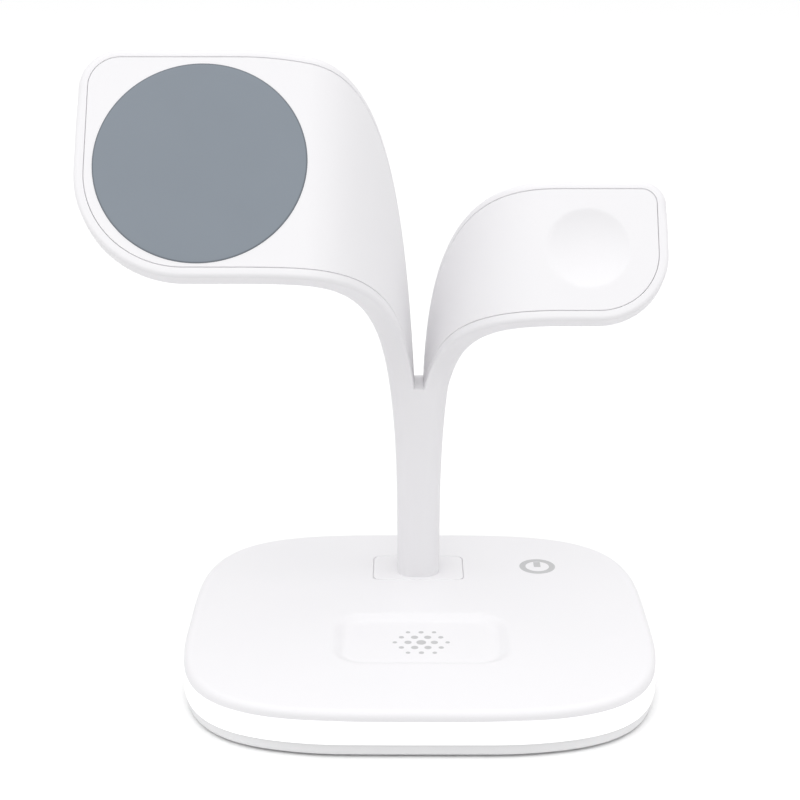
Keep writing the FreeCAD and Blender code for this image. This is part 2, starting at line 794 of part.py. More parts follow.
# Phone pad, coil, shield and the ring of magnets
magnet_outer = "Sizes.pad_diameter - 2 * Sizes.magnet_margin"
magnet_inner = magnet_outer + " - 2 * Sizes.magnet_width"
coil_outer = magnet_inner + " - 2 * Sizes.phone_coil_margin"
shield_diameter = magnet_inner + " - 2 * Sizes.phone_shield_margin"
pad = cylinder("pad_disc", "Sizes.pad_diameter", "Sizes.pad_thickness")
leaf_place(node(pad, "phone_pad"), phone_arm, pad_depth)
coil = difference(
    "phone_winding",
    cylinder("phone_winding_outer", coil_outer, "Sizes.phone_coil_height"),
    cylinder("phone_winding_inner", "Sizes.phone_coil_inner", "Sizes.phone_coil_height"),
)
coil_top = skin + size("skin_gap")
leaf_place(node(coil, "phone_coil"), phone_arm, coil_top + size("phone_coil_height"))
shield = cylinder("phone_shield_disc", shield_diameter, "Sizes.phone_shield_height")
shield_depth = coil_top + size("phone_coil_height") + size("phone_shield_height")
leaf_place(node(shield, "phone_shield"), phone_arm, shield_depth)
magnets = []
magnet_count = 16
for k in range(magnet_count):
    sweep = "360 / %d - Sizes.magnet_gap_angle" % magnet_count
    outer_arc = cylinder("magnet_outer_%d" % k, magnet_outer, "Sizes.magnet_height")
    inner_arc = cylinder("magnet_inner_%d" % k, magnet_inner, "Sizes.magnet_height")
    bind(outer_arc, Angle=sweep)
    piece = difference("magnet_%d" % k, outer_arc, inner_arc)
    turn = Rotation(Vector(0, 0, 1), 360.0 * k / magnet_count)
    piece.Placement = Placement(Vector(0, 0, 0), turn)
    magnets.append(piece)
magnet_ring = doc.addObject("Part::Compound", "magnet_ring")
magnet_ring.Links = magnets
leaf_place(node(magnet_ring, "phone_magnets"), phone_arm, coil_top + size("magnet_height"))

# Watch coil, magnet and shield
coil = difference(
    "watch_winding",
    cylinder("watch_winding_outer", "Sizes.watch_coil_outer", "Sizes.watch_coil_height"),
    cylinder("watch_winding_inner", "Sizes.watch_coil_inner", "Sizes.watch_coil_height"),
)
leaf_place(node(coil, "watch_coil"), watch_arm, dish_under + size("watch_coil_height"))
magnet = cylinder("watch_magnet_disc", "Sizes.watch_magnet_diameter", "Sizes.watch_coil_height")
leaf_place(node(magnet, "watch_magnet"), watch_arm, dish_under + size("watch_coil_height"))
shield = cylinder("watch_shield_disc", "Sizes.watch_coil_outer + 2", "Sizes.watch_shield_height")
shield_depth = dish_under + size("watch_coil_height") + size("watch_shield_height")
leaf_place(node(shield, "watch_shield"), watch_arm, shield_depth)

# Earbud coil and shield under the recess
body, last = padded_body("earbud_coil", "XY_Plane", "Sizes.earbud_coil_length", "Sizes.earbud_coil_width",
                         "Sizes.earbud_coil_height", "Sizes.earbud_coil_turns_width + 3", 2)
pocket(body, "XY_Plane", "earbud_coil_eye", "Sizes.earbud_coil_length - 2 * Sizes.earbud_coil_turns_width",
       "Sizes.earbud_coil_width - 2 * Sizes.earbud_coil_turns_width", "Sizes.earbud_coil_height", True)
node(body, "earbud_coil")
body.Placement = Placement(Vector(recess_x, recess_y, recess_under - size("earbud_coil_height")), Rotation())
body, last = padded_body("earbud_shield", "XY_Plane", "Sizes.earbud_coil_length + 2", "Sizes.earbud_coil_width + 2",
                         "Sizes.earbud_shield_height", "Sizes.earbud_coil_turns_width + 4", 2)
node(body, "earbud_shield")
drop = size("earbud_coil_height") + size("earbud_shield_height")
body.Placement = Placement(Vector(recess_x, recess_y, recess_under - drop), Rotation())

# Steel ballast plate on the tray floor
body, last = padded_body("ballast_plate", "XY_Plane", "Sizes.ballast_length", "Sizes.ballast_width",
                         "Sizes.ballast_height", "4", 2)
node(body, "ballast_plate")
place(body, "-11", "-8", "Sizes.tray_floor")

# Main board in three joined fields
rear_start = "Sizes.base_depth / 2 - 16.5"
board_level = "Sizes.board_bottom"
rear_field = place(box("board_rear", "28", "12.5", "Sizes.board_thickness"), "-14", rear_start, board_level)
link_field = box("board_link", "Sizes.base_width / 2 - 51", "4.5", "Sizes.board_thickness")
place(link_field, "13", rear_start, board_level)
side_field = box("board_side", "19", "Sizes.base_depth / 2 + 16", "Sizes.board_thickness")
place(side_field, "Sizes.base_width / 2 - 39", "-30", board_level)
board = doc.addObject("Part::MultiFuse", "board_fields")
board.Shapes = [rear_field, link_field, side_field]
for k, (x, y) in enumerate(board_fixings):
    drill = cylinder("board_drill_%d" % k, "1.8", "Sizes.board_thickness + 2")
    board = difference("board_drilled_%d" % k, board, place(drill, str(x), str(y), "Sizes.board_bottom - 1"))
node(board, "main_board")

# Chips and the inductor on the board
chip_rows = (
    ("7", "7", "3", "Sizes.base_width / 2 - 34", "-18"),
    ("6", "6", "0.9", "Sizes.base_width / 2 - 33", "12"),
    ("4", "4", "0.9", "Sizes.base_width / 2 - 31", "-4"),
    ("3.2", "2.5", "2", "Sizes.base_width / 2 - 26", "-8"),
    ("3.2", "2.5", "2", "Sizes.base_width / 2 - 26", "12"),
    ("6", "3", "2.4", "-8", "Sizes.base_depth / 2 - 15.5"),
)
chips = []
for k, (length, width, height, x, y) in enumerate(chip_rows):
    chip = box("chip_%d" % k, length, width, height)
    chips.append(place(chip, x, y, "Sizes.board_bottom + Sizes.board_thickness"))
chip_set = doc.addObject("Part::Compound", "chip_set")
chip_set.Links = chips
node(chip_set, "board_chips")

# USB-C inlet: a drawn steel shell around a plastic tongue
body, last = padded_body("usb_c_shell", "XZ_Plane", "Sizes.inlet_width", "Sizes.inlet_height",
                         "Sizes.inlet_length", "Sizes.inlet_height / 2 - 0.05", 1)
pocket(body, "XZ_Plane", "usb_c_mouth", "Sizes.inlet_width - 2 * Sizes.inlet_wall - 1",
       "Sizes.inlet_height - 2 * Sizes.inlet_wall", "Sizes.inlet_length - 1", True)
node(body, "usb_c_shell")
mouth_y = half_y - size("inlet_setback")
body.Placement = Placement(Vector(0, mouth_y, inlet_z), Rotation())
tongue = box("tongue_bar", "Sizes.tongue_width", "Sizes.inlet_length - 2", "Sizes.tongue_height")
tongue_start = "%s - (Sizes.inlet_length - 1)" % mouth_y
place(tongue, "-Sizes.tongue_width / 2", tongue_start, "%s - Sizes.tongue_height / 2" % inlet_z)
node(tongue, "usb_c_tongue")
doc.recompute()

# Touch spring between the board and the cover, under the printed sign
wire = size("touch_wire")
coil_radius = (size("touch_diameter") - wire) / 2
rise = roof_under - board_top - wire
turns = 3
helix = Part.makeHelix(rise / turns, rise, coil_radius)
half = wire / 2
square = ((-half, -half), (half, -half), (half, half), (-half, half))
corners = [Vector(coil_radius + x, 0, z) for x, z in square]
ring_wire = Part.makePolygon(corners + [corners[0]])
spring = Part.Wire(helix).makePipeShell([ring_wire], True, True)
feature("touch_spring", spring, Vector(size("touch_x"), size("touch_y"), board_top + wire / 2))

# Lamp strip around the tray wall and its lamps
strip_low = (tray_top + band_top - size("strip_height")) / 2
strip_inset = size("rib_inset") - size("strip_thickness")
strip = ring(strip_inset, size("rib_inset"), strip_low, strip_low + size("strip_height"))
feature("lamp_strip", strip.cut(rear_cut))
lamps = []
lamp_inset = size("rib_inset") - size("strip_thickness")
lamp_z = (tray_top + band_top - size("lamp_height")) / 2
lamp_count = int(round(size("lamp_count")))
lamp_depth = 1.2
trail = squircle(lamp_inset, lamp_z).OuterWire.discretize(4 * lamp_count + 1)
for k in range(lamp_count):
    spot = trail[4 * k + 2]
    if spot.y > 0 and abs(spot.x) < size("rear_gap") / 2 + size("lamp_length"):
        continue
    run = trail[4 * k + 3] - trail[4 * k + 1]
    angle = math.degrees(math.atan2(run.y, run.x))
    lamp_corner = Vector(-size("lamp_length") / 2, -lamp_depth, 0)
    lamp = Part.makeBox(size("lamp_length"), lamp_depth, size("lamp_height"), lamp_corner)
    lamp.Placement = Placement(spot, Rotation(Vector(0, 0, 1), angle))
    lamps.append(lamp)
feature("lamps", Part.makeCompound(lamps))


# Screws: under the base, under the foot plate and on the board
def screws(label, spots, seat, length, diameter, head, head_height):
    """Set of equal pan-head screws that point up, with heads below a seat."""
    pieces = []
    for k, (x, y) in enumerate(spots):
        shank = cylinder("%s_shank_%d" % (label, k), diameter, length)
        place(shank, str(x), str(y), str(seat))
        cap = cylinder("%s_head_%d" % (label, k), head, head_height)
        place(cap, str(x), str(y), "%s - (%s)" % (seat, head_height))
        joined = doc.addObject("Part::Fuse", "%s_%d" % (label, k))
        joined.Base = shank
        joined.Tool = cap
        pieces.append(joined)
    group = doc.addObject("Part::Compound", label + "_set")
    group.Links = pieces
    return node(group, label)


head_seat = size("mat_thickness") + size("screw_head_height") + 0.1
screws("base_screws", posts, head_seat, "6.5", "Sizes.screw_diameter - 0.25",
       "Sizes.screw_head", "Sizes.screw_head_height")
screws("foot_screws", foot_fixings, pocket_under, "3.6", "Sizes.screw_diameter - 0.25", "4.2", "1.3")
pieces = []
for k, (x, y) in enumerate(board_fixings):
    shank = cylinder("board_shank_%d" % k, "1.5", "Sizes.board_thickness + 1.6")
    place(shank, str(x), str(y), "Sizes.board_bottom - 1.6")
    cap = cylinder("board_head_%d" % k, "3.2", "1.2")
    place(cap, str(x), str(y), "Sizes.board_bottom + Sizes.board_thickness")
    joined = doc.addObject("Part::Fuse", "board_screw_%d" % k)
    joined.Base = shank
    joined.Tool = cap
    pieces.append(joined)
group = doc.addObject("Part::Compound", "board_screw_set")
group.Links = pieces
node(group, "board_screws")

doc.recompute()
os.makedirs("parts", exist_ok=True)
for obj in doc.Objects:
    if "Invalid" in obj.State or "Error" in obj.State:
        raise RuntimeError("object in error: " + obj.Label)
for obj in nodes:
    shape = obj.Shape
    if shape.isNull() or not shape.isValid() or not shape.Solids:
        raise RuntimeError("bad shape: " + obj.Label)
    shape.exportStep("parts/%s.step" % obj.Label)
    b = shape.optimalBoundingBox()
    print("%-20s solids %2d volume %9.1f  X %7.2f %7.2f  Y %7.2f %7.2f  Z %7.2f %7.2f" % (
        obj.Label, len(shape.Solids), shape.Volume, b.XMin, b.XMax, b.YMin, b.YMax, b.ZMin, b.ZMax))
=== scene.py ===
import math

import bmesh
import bpy
import numpy as np
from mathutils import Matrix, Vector


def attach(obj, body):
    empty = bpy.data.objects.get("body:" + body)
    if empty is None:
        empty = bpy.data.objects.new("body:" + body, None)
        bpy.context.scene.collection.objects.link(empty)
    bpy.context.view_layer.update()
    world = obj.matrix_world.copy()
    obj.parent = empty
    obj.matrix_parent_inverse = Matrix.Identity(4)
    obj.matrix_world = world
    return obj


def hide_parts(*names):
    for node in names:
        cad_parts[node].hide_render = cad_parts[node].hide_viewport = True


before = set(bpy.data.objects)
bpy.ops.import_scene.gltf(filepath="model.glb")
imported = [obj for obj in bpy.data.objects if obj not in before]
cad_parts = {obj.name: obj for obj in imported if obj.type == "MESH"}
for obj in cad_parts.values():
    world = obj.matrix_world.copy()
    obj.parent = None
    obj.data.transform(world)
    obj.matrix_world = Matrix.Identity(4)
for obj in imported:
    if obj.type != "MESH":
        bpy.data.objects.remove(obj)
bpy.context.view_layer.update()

bl_info = {
    "name": "Sprout charging station",
    "version": (1, 0, 0),
    "blender": (4, 5, 0),
    "location": "3D View > Sidebar > Sprout",
    "description": "Shells, pad, printed signs, finishes and studio of a charging station",
    "category": "Object",
}

MM = 0.001

# Sizes in millimetres, as the solids have them. Base:
BASE_HALF = (64.0, 58.0)
BASE_POWER = 3.63
BASE_TOP = 13.05
BASE_ROUND = 2.0
BAND_TOP = 10.45
BAND_WALL = 2.5
COVER_BREAK = 0.1
COVER_UNDER = 10.85
RECESS_MIDDLE = (0.5, -15.4)
RECESS_SIZE = (49.0, 31.6)
RECESS_CORNER = 9.0
RECESS_SLOPE = 4.0

# Foot plate and stem
FOOT_SIZE = (26.4, 17.2)
FOOT_CORNER = 2.0
FOOT_SEAT = 12.6
FOOT_LIFT = 0.02
FOOT_GAP = 0.15
FOOT_BREAK = 0.12
STEM_FRONT = 24.7
STEM_BACK = 38.4
STEM_MIDDLE = (0.0, (STEM_FRONT + STEM_BACK) / 2)
STEM_HALF = 6.2
STEM_FLARE = 2.15
STEM_FLARE_POWER = 3.5
STEM_CORNER = 4.6
OUTER_CORNER = 2.8
SLOT_HALF = 1.3
SLOT_LEVEL = 71.0
SLOT_RADIUS = 0.8

# Leaves
LEAF_LEAN = math.radians(56.0)
LEAF_DEPTH = 7.2
LEAF_RADIUS = 2.0
CRISP_RADIUS = 1.1
LEAF_FLOOR = 5.6
DUCT_DEPTH = 5.0
RIM = 2.7
SKIN = 1.6
SKIN_GAP = 0.12
SEAM_BREAK = 0.14
LEDGE = 1.2
X_AXIS = np.array((1.0, 0.0, 0.0))
ALONG = np.array((0.0, math.cos(LEAF_LEAN), math.sin(LEAF_LEAN)))
OUTWARD = np.array((0.0, -math.sin(LEAF_LEAN), math.cos(LEAF_LEAN)))

# A leaf is flat from its tip to "bend", eases into "fold" and then folds down to the slot.
# "middle" is the middle of its pad or dish, "tip" the reach from there to its end, and
# "corners" holds the radii of the back and the front corner. Each edge holds its run from
# the middle, its sink at the fold, its slope there, and the reach, drop and swing of the
# handles of its curve.
PHONE_LEAF = {
    "side": -1, "middle": (-57.3, 2.4, 140.3), "tip": 32.8, "corners": (11.0, 29.5),
    "bend": -48.0, "fold": -30.2,
    "back": (32.6, 1.75, 0.19, 14.3, 78.0, 3.2),
    "front": (-31.6, 0.4, 0.07, 18.8, 23.9, 3.4),
}
WATCH_LEAF = {
    "side": 1, "middle": (45.0, 9.0, 116.0), "tip": 21.5, "corners": (6.8, 19.2),
    "bend": 43.0, "fold": 38.0,
    "back": (19.6, 0.0, 0.0, 17.8, 52.8, 0.8),
    "front": (-20.3, 0.0, 0.0, 23.9, 16.1, 4.3),
}

# Shares of the bend: where the shoulder ends, where the section starts to turn upright,
# where it starts to line up with the slot, and how far its face directions are averaged
SHOULDER_SHARE = 0.2
TURN_START = 0.42
LINE_UP_START = 0.8
SOFTEN_REACH = 0.2
SOFTEN_FADE = 0.3
SOFTEN_STEPS = 15

# Pad, dish and printed films
PAD_ROUND = 0.3
PAD_SIDE = 0.5
PAD_UNDER = 0.8
SEAT_DEPTH = 0.85
SEAT_INSET = 1.4
SEAT_SLOPE = 1.2
DISH_SOFT = 0.0016
FILM = 0.03
FILM_SINK = 0.01
SIGN_MIDDLE = (35.5, 32.5)
SIGN_HOLLOW = 0.66
BAR_HALF = 1.0
BAR_SPAN = (-0.4, 3.2)
DOT_RADIUS = 1.35
DOT_SHRINK = 0.36
DOT_RINGS = 2

# Points across the section of a leaf: hollow to lip, arcs, sides, back
LIP_POINTS = 6
ARC_STEPS = 9
SIDE_STEPS = 4
BACK_STEPS = 12


def srgb(code):
    """Linear colour of an sRGB hex code such as #F4F5F6."""
    parts = np.array([int(code[k:k + 2], 16) for k in (1, 3, 5)]) / 255.0
    linear = np.where(parts <= 0.04045, parts / 12.92, ((parts + 0.055) / 1.055) ** 2.4)
    return tuple(float(v) for v in linear)


class StationSizes(bpy.types.PropertyGroup):
    """Sizes that a user would change."""

    pad_diameter: bpy.props.FloatProperty(
        name="Pad diameter", description="Diameter of the phone pad",
        default=0.056, unit="LENGTH")
    pad_proud: bpy.props.FloatProperty(
        name="Pad proud", description="Height of the pad above its leaf",
        default=0.0002, unit="LENGTH")
    recess_depth: bpy.props.FloatProperty(
        name="Recess depth", description="Depth of the earbud recess",
        default=0.0015, unit="LENGTH")
    dish_diameter: bpy.props.FloatProperty(
        name="Dish diameter", description="Diameter of the watch dish",
        default=0.0224, unit="LENGTH")
    dish_depth: bpy.props.FloatProperty(
        name="Dish depth", description="Depth of the watch dish",
        default=0.0019, unit="LENGTH")
    sign_diameter: bpy.props.FloatProperty(
        name="Sign diameter", description="Outer diameter of the printed touch sign",
        default=0.0106, unit="LENGTH")
    dot_spacing: bpy.props.FloatProperty(
        name="Dot spacing", description="Spacing of the printed dots in the recess",
        default=0.0036, unit="LENGTH")


class StationColours(bpy.types.PropertyGroup):
    """Colours that a user would change."""

    shell: bpy.props.FloatVectorProperty(
        name="Shell", description="White of the shells",
        subtype="COLOR", default=srgb("#ECEBED"))
    tray: bpy.props.FloatVectorProperty(
        name="Tray", description="Grey of the bottom tray",
        subtype="COLOR", default=srgb("#E4E4E5"))
    band: bpy.props.FloatVectorProperty(
        name="Light band", description="Milky white of the light band",
        subtype="COLOR", default=srgb("#FCFCFC"))
    pad: bpy.props.FloatVectorProperty(
        name="Pad", description="Grey of the phone pad",
        subtype="COLOR", default=srgb("#838B94"))
    sign: bpy.props.FloatVectorProperty(
        name="Printed signs", description="Grey of the printed signs",
        subtype="COLOR", default=srgb("#C0C0C1"))


class StudioLight(bpy.types.PropertyGroup):
    """Strengths of the studio light."""

    sky: bpy.props.FloatProperty(
        name="Sky", description="Strength of the even light from above", default=0.515)
    ground: bpy.props.FloatProperty(
        name="Ground", description="Strength of the light thrown back from below", default=0.96)
    dome: bpy.props.FloatProperty(
        name="Dome", description="Light added towards the zenith", default=1.14)
    sides: bpy.props.FloatProperty(
        name="Side softboxes", description="Power of each softbox at the sides",
        default=2.2, unit="POWER")
    front: bpy.props.FloatProperty(
        name="Front softbox", description="Power of the softbox above the front",
        default=12.6, unit="POWER")
    band_glow: bpy.props.FloatProperty(
        name="Band glow", description="Light that the band gives off", default=0.25)


# Grids of points and the meshes made from them
def grid_faces(rows, columns, wrap_rows=False, wrap_columns=False):
    """Four-sided faces of a grid of points, closed in either direction where asked."""
    row = np.arange(rows if wrap_rows else rows - 1)
    column = np.arange(columns if wrap_columns else columns - 1)
    r, c = np.meshgrid(row, column, indexing="ij")
    here = r * columns
    after = (r + 1) % rows * columns
    c1 = (c + 1) % columns
    faces = np.stack((here + c, here + c1, after + c1, after + c), axis=-1)
    return faces.reshape(-1, 4)


def grid(points, wrap_rows=False, wrap_columns=False):
    """One patch: the points of a grid as a list, with its faces."""
    rows, columns = points.shape[:2]
    return points.reshape(-1, 3), grid_faces(rows, columns, wrap_rows, wrap_columns)


def full_turn(count):
    """Angles of one whole turn in even steps."""
    return np.linspace(0, 2 * math.pi, count, endpoint=False)


def lathe(profile, count):
    """Patch of a profile of radius and height turned about the upright axis, poles included."""
    turn = full_turn(count)
    radius = profile[:, 0][:, None]
    height = profile[:, 1][:, None] + 0 * turn
    points = np.stack((radius * np.cos(turn), radius * np.sin(turn), height), axis=-1)
    return grid(points, wrap_columns=True)


def build(name, patches, material, sharp=40.0):
    """Closed mesh object from patches in millimetres, merged, turned outwards and smooth."""
    points = []
    faces = []
    start = 0
    for spots, quads in patches:
        points.append(spots)
        faces.append(quads + start)
        start += len(spots)
    mesh = bpy.data.meshes.new(name)
    mesh.from_pydata(np.concatenate(points) * MM, [], np.concatenate(faces))
    shape = bmesh.new()
    shape.from_mesh(mesh)
    bmesh.ops.remove_doubles(shape, verts=shape.verts, dist=2e-6)
    bmesh.ops.dissolve_degenerate(shape, dist=1e-7, edges=shape.edges)
    bmesh.ops.recalc_face_normals(shape, faces=shape.faces)
    shape.to_mesh(mesh)
    shape.free()
    mesh.polygons.foreach_set("use_smooth", np.ones(len(mesh.polygons), dtype=bool))
    mesh.set_sharp_from_angle(angle=math.radians(sharp))
    mesh.materials.append(material)
    piece = bpy.data.objects.new(name, mesh)
    bpy.context.scene.collection.objects.link(piece)
    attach(piece, "root")
    return piece


def smooth_step(value):
    """Soft step from 0 to 1."""
    value = np.clip(value, 0, 1)
    return value * value * (3 - 2 * value)


def halving(end, held, rounds=50):
    """Largest numbers from 0 to end for which held() is true, by halving the range."""
    near = np.zeros(len(end))
    far = end
    for _ in range(rounds):
        half = (near + far) / 2
        inside = held(half)
        near = np.where(inside, half, near)
        far = np.where(inside, far, half)
    return near


# Finishes
NOISE_RANGE = (0.3, 0.7)
CLOUD_MM = 22.0
WIRE_MM = 0.55
PAD_GRAIN_MM = 0.5
PAD_CLOUD_MM = 14.0
# Band inside the pad's radius that is darkened as painted shade of the gap round its seat
PAD_SHADOW_LINE_MM = (0.5, 0.2)
TRACE_MM = 1.3


def add(tree, kind, links=None, **settings):
    """Add one node with its settings, socket values and links."""
    node = tree.nodes.new(kind)
    for key, value in settings.items():
        setattr(node, key, value)
    for key, value in (links or {}).items():
        if isinstance(value, bpy.types.NodeSocket):
            tree.links.new(value, node.inputs[key])
        else:
            node.inputs[key].default_value = value
    return node


def start_material(name):
    """Empty node material with an object coordinate in metres."""
    material = bpy.data.materials.new(name)
    material.use_nodes = True
    tree = material.node_tree
    tree.nodes.clear()
    return material, tree, add(tree, "ShaderNodeTexCoord").outputs["Object"]


def moulded(name, colour, rough, grain_mm, bump, tint=0.012, emission=0.0, ior=1.46):
    """Moulded plastic or rubber: spark-eroded grain softens the gloss, faint clouds tint it."""
    material, tree, place = start_material(name)
    deep = (colour[0] * (1 - tint), colour[1] * (1 - tint), colour[2] * (1 - tint * 0.8))
    cloud = add(tree, "ShaderNodeTexNoise", {
        "Vector": place, "Scale": 1000 / CLOUD_MM, "Detail": 3.0})
    mix = add(tree, "ShaderNodeMix", {
        "Factor": cloud.outputs["Fac"], 6: (*deep, 1.0), 7: (*colour, 1.0)}, data_type="RGBA")
    grain = add(tree, "ShaderNodeTexNoise", {
        "Vector": place, "Scale": 1000 / grain_mm, "Detail": 2.0})
    gloss = add(tree, "ShaderNodeMapRange", {
        "Value": grain.outputs["Fac"], "From Min": NOISE_RANGE[0], "From Max": NOISE_RANGE[1],
        "To Min": rough - 0.05, "To Max": rough + 0.05})
    relief = add(tree, "ShaderNodeBump", {
        "Height": grain.outputs["Fac"], "Strength": bump, "Distance": grain_mm * 0.2 * MM})
    shader = add(tree, "ShaderNodeBsdfPrincipled", {
        "Base Color": mix.outputs[2], "Roughness": gloss.outputs["Result"],
        "Normal": relief.outputs["Normal"], "IOR": ior})
    if emission:
        shader.inputs["Emission Color"].default_value = (1.0, 1.0, 1.0, 1.0)
        shader.inputs["Emission Strength"].default_value = emission
    add(tree, "ShaderNodeOutputMaterial", {"Surface": shader.outputs["BSDF"]})
    return material


def bare_metal(name, colour, rough, grain_mm, stretch=(1.0, 1.0, 1.0)):
    """Drawn or plated metal: fine streaks along one direction change its gloss."""
    material, tree, place = start_material(name)
    turned = add(tree, "ShaderNodeMapping", {"Vector": place, "Scale": stretch})
    streak = add(tree, "ShaderNodeTexNoise", {
        "Vector": turned.outputs["Vector"], "Scale": 1000 / grain_mm, "Detail": 3.0})
    gloss = add(tree, "ShaderNodeMapRange", {
        "Value": streak.outputs["Fac"], "From Min": NOISE_RANGE[0], "From Max": NOISE_RANGE[1],
        "To Min": rough - 0.08, "To Max": rough + 0.08})
    relief = add(tree, "ShaderNodeBump", {
        "Height": streak.outputs["Fac"], "Strength": 0.1, "Distance": 0.03 * MM})
    shader = add(tree, "ShaderNodeBsdfPrincipled", {
        "Base Color": (*colour, 1.0), "Metallic": 1.0, "Roughness": gloss.outputs["Result"],
        "Normal": relief.outputs["Normal"]})
    add(tree, "ShaderNodeOutputMaterial", {"Surface": shader.outputs["BSDF"]})
    return material


def wound_copper(name, middle, axis):
    """Lacquered copper winding: a ring per wire about the coil's axis, with the gaps between turns
    darkened as painted shade.

    The distance r from the axis is the root of |p|^2 - (p . axis)^2, with p from the middle
    of the coil, and the rings follow the sine of r over the wire's width.
    """
    material, tree, place = start_material(name)
    shift = add(tree, "ShaderNodeVectorMath", {0: place, 1: middle}, operation="SUBTRACT")
    spot = shift.outputs["Vector"]
    high = add(tree, "ShaderNodeVectorMath", {0: spot, 1: axis}, operation="DOT_PRODUCT")
    far = add(tree, "ShaderNodeVectorMath", {0: spot, 1: spot}, operation="DOT_PRODUCT")
    rise = add(tree, "ShaderNodeMath", {
        0: high.outputs["Value"], 1: high.outputs["Value"]}, operation="MULTIPLY")
    flat = add(tree, "ShaderNodeMath", {
        0: far.outputs["Value"], 1: rise.outputs["Value"]}, operation="SUBTRACT")
    radius = add(tree, "ShaderNodeMath", {0: flat.outputs["Value"]}, operation="SQRT")
    turns = add(tree, "ShaderNodeMath", {
        0: radius.outputs["Value"], 1: 2 * math.pi / (WIRE_MM * MM)}, operation="MULTIPLY")
    wave = add(tree, "ShaderNodeMath", {0: turns.outputs["Value"]}, operation="SINE")
    share = add(tree, "ShaderNodeMapRange", {
        "Value": wave.outputs["Value"], "From Min": -1.0, "From Max": 0.2})
    # Dark brown at the troughs of the wave is painted shade in the gaps between turns; the copper
    # colour is the wire's own
    mix = add(tree, "ShaderNodeMix", {
        "Factor": share.outputs["Result"], 6: (*srgb("#5A2A14"), 1.0),
        7: (*srgb("#C9763F"), 1.0)}, data_type="RGBA")
    relief = add(tree, "ShaderNodeBump", {
        "Height": share.outputs["Result"], "Strength": 0.5, "Distance": 0.2 * MM})
    shader = add(tree, "ShaderNodeBsdfPrincipled", {
        "Base Color": mix.outputs[2], "Metallic": 0.85, "Roughness": 0.3,
        "Normal": relief.outputs["Normal"]})
    add(tree, "ShaderNodeOutputMaterial", {"Surface": shader.outputs["BSDF"]})
    return material


def silicone_pad(name, colour, middle, radius):
    """Soft-touch silicone: matte grey with dust-fine grain, and a thin darker ring at its edge that
    is painted shade of the gap round its seat.
    """
    material, tree, place = start_material(name)
    pale, deep, shadow_line_tone = ((*[v * k for v in colour], 1.0) for k in (1.02, 0.97, 0.62))
    reach = add(tree, "ShaderNodeVectorMath", {0: place, 1: middle}, operation="DISTANCE")
    # Painted shade: the outer band of the pad is mixed towards a darker grey. It stands in for the
    # shadow line in the gap of its seat.
    edge = add(tree, "ShaderNodeMapRange", {
        "Value": reach.outputs["Value"], "From Min": radius - PAD_SHADOW_LINE_MM[0] * MM,
        "From Max": radius - PAD_SHADOW_LINE_MM[1] * MM})
    grain = add(tree, "ShaderNodeTexNoise", {
        "Vector": place, "Scale": 1000 / PAD_GRAIN_MM, "Detail": 3.0})
    cloud = add(tree, "ShaderNodeTexNoise", {
        "Vector": place, "Scale": 1000 / PAD_CLOUD_MM, "Detail": 2.0})
    mix = add(tree, "ShaderNodeMix", {
        "Factor": cloud.outputs["Fac"], 6: deep, 7: pale}, data_type="RGBA")
    painted_shadow_line = add(tree, "ShaderNodeMix", {
        "Factor": edge.outputs["Result"], 6: mix.outputs[2], 7: shadow_line_tone}, data_type="RGBA")
    relief = add(tree, "ShaderNodeBump", {
        "Height": grain.outputs["Fac"], "Strength": 0.12, "Distance": 0.06 * MM})
    shader = add(tree, "ShaderNodeBsdfPrincipled", {
        "Base Color": painted_shadow_line.outputs[2], "Roughness": 0.62, "Normal": relief.outputs["Normal"],
        "IOR": 1.41})
    add(tree, "ShaderNodeOutputMaterial", {"Surface": shader.outputs["BSDF"]})
    return material


def solder_mask(name):
    """Glass-fibre board under green solder mask: traces show as slightly raised paler bands."""
    material, tree, place = start_material(name)
    wave = add(tree, "ShaderNodeTexWave", {
        "Vector": place, "Scale": 1000 / TRACE_MM / 3.0, "Distortion": 6.0, "Detail Scale": 0.6})
    mask = add(tree, "ShaderNodeMapRange", {
        "Value": wave.outputs["Fac"], "From Min": 0.55, "From Max": 0.65})
    mix = add(tree, "ShaderNodeMix", {
        "Factor": mask.outputs["Result"], 6: (*srgb("#0F4A2C"), 1.0),
        7: (*srgb("#1B6B41"), 1.0)}, data_type="RGBA")
    relief = add(tree, "ShaderNodeBump", {
        "Height": mask.outputs["Result"], "Strength": 0.3, "Distance": 0.04 * MM})
    shader = add(tree, "ShaderNodeBsdfPrincipled", {
        "Base Color": mix.outputs[2], "Roughness": 0.35, "Normal": relief.outputs["Normal"],
        "IOR": 1.5})
    add(tree, "ShaderNodeOutputMaterial", {"Surface": shader.outputs["BSDF"]})
    return material


FINISHES = {}


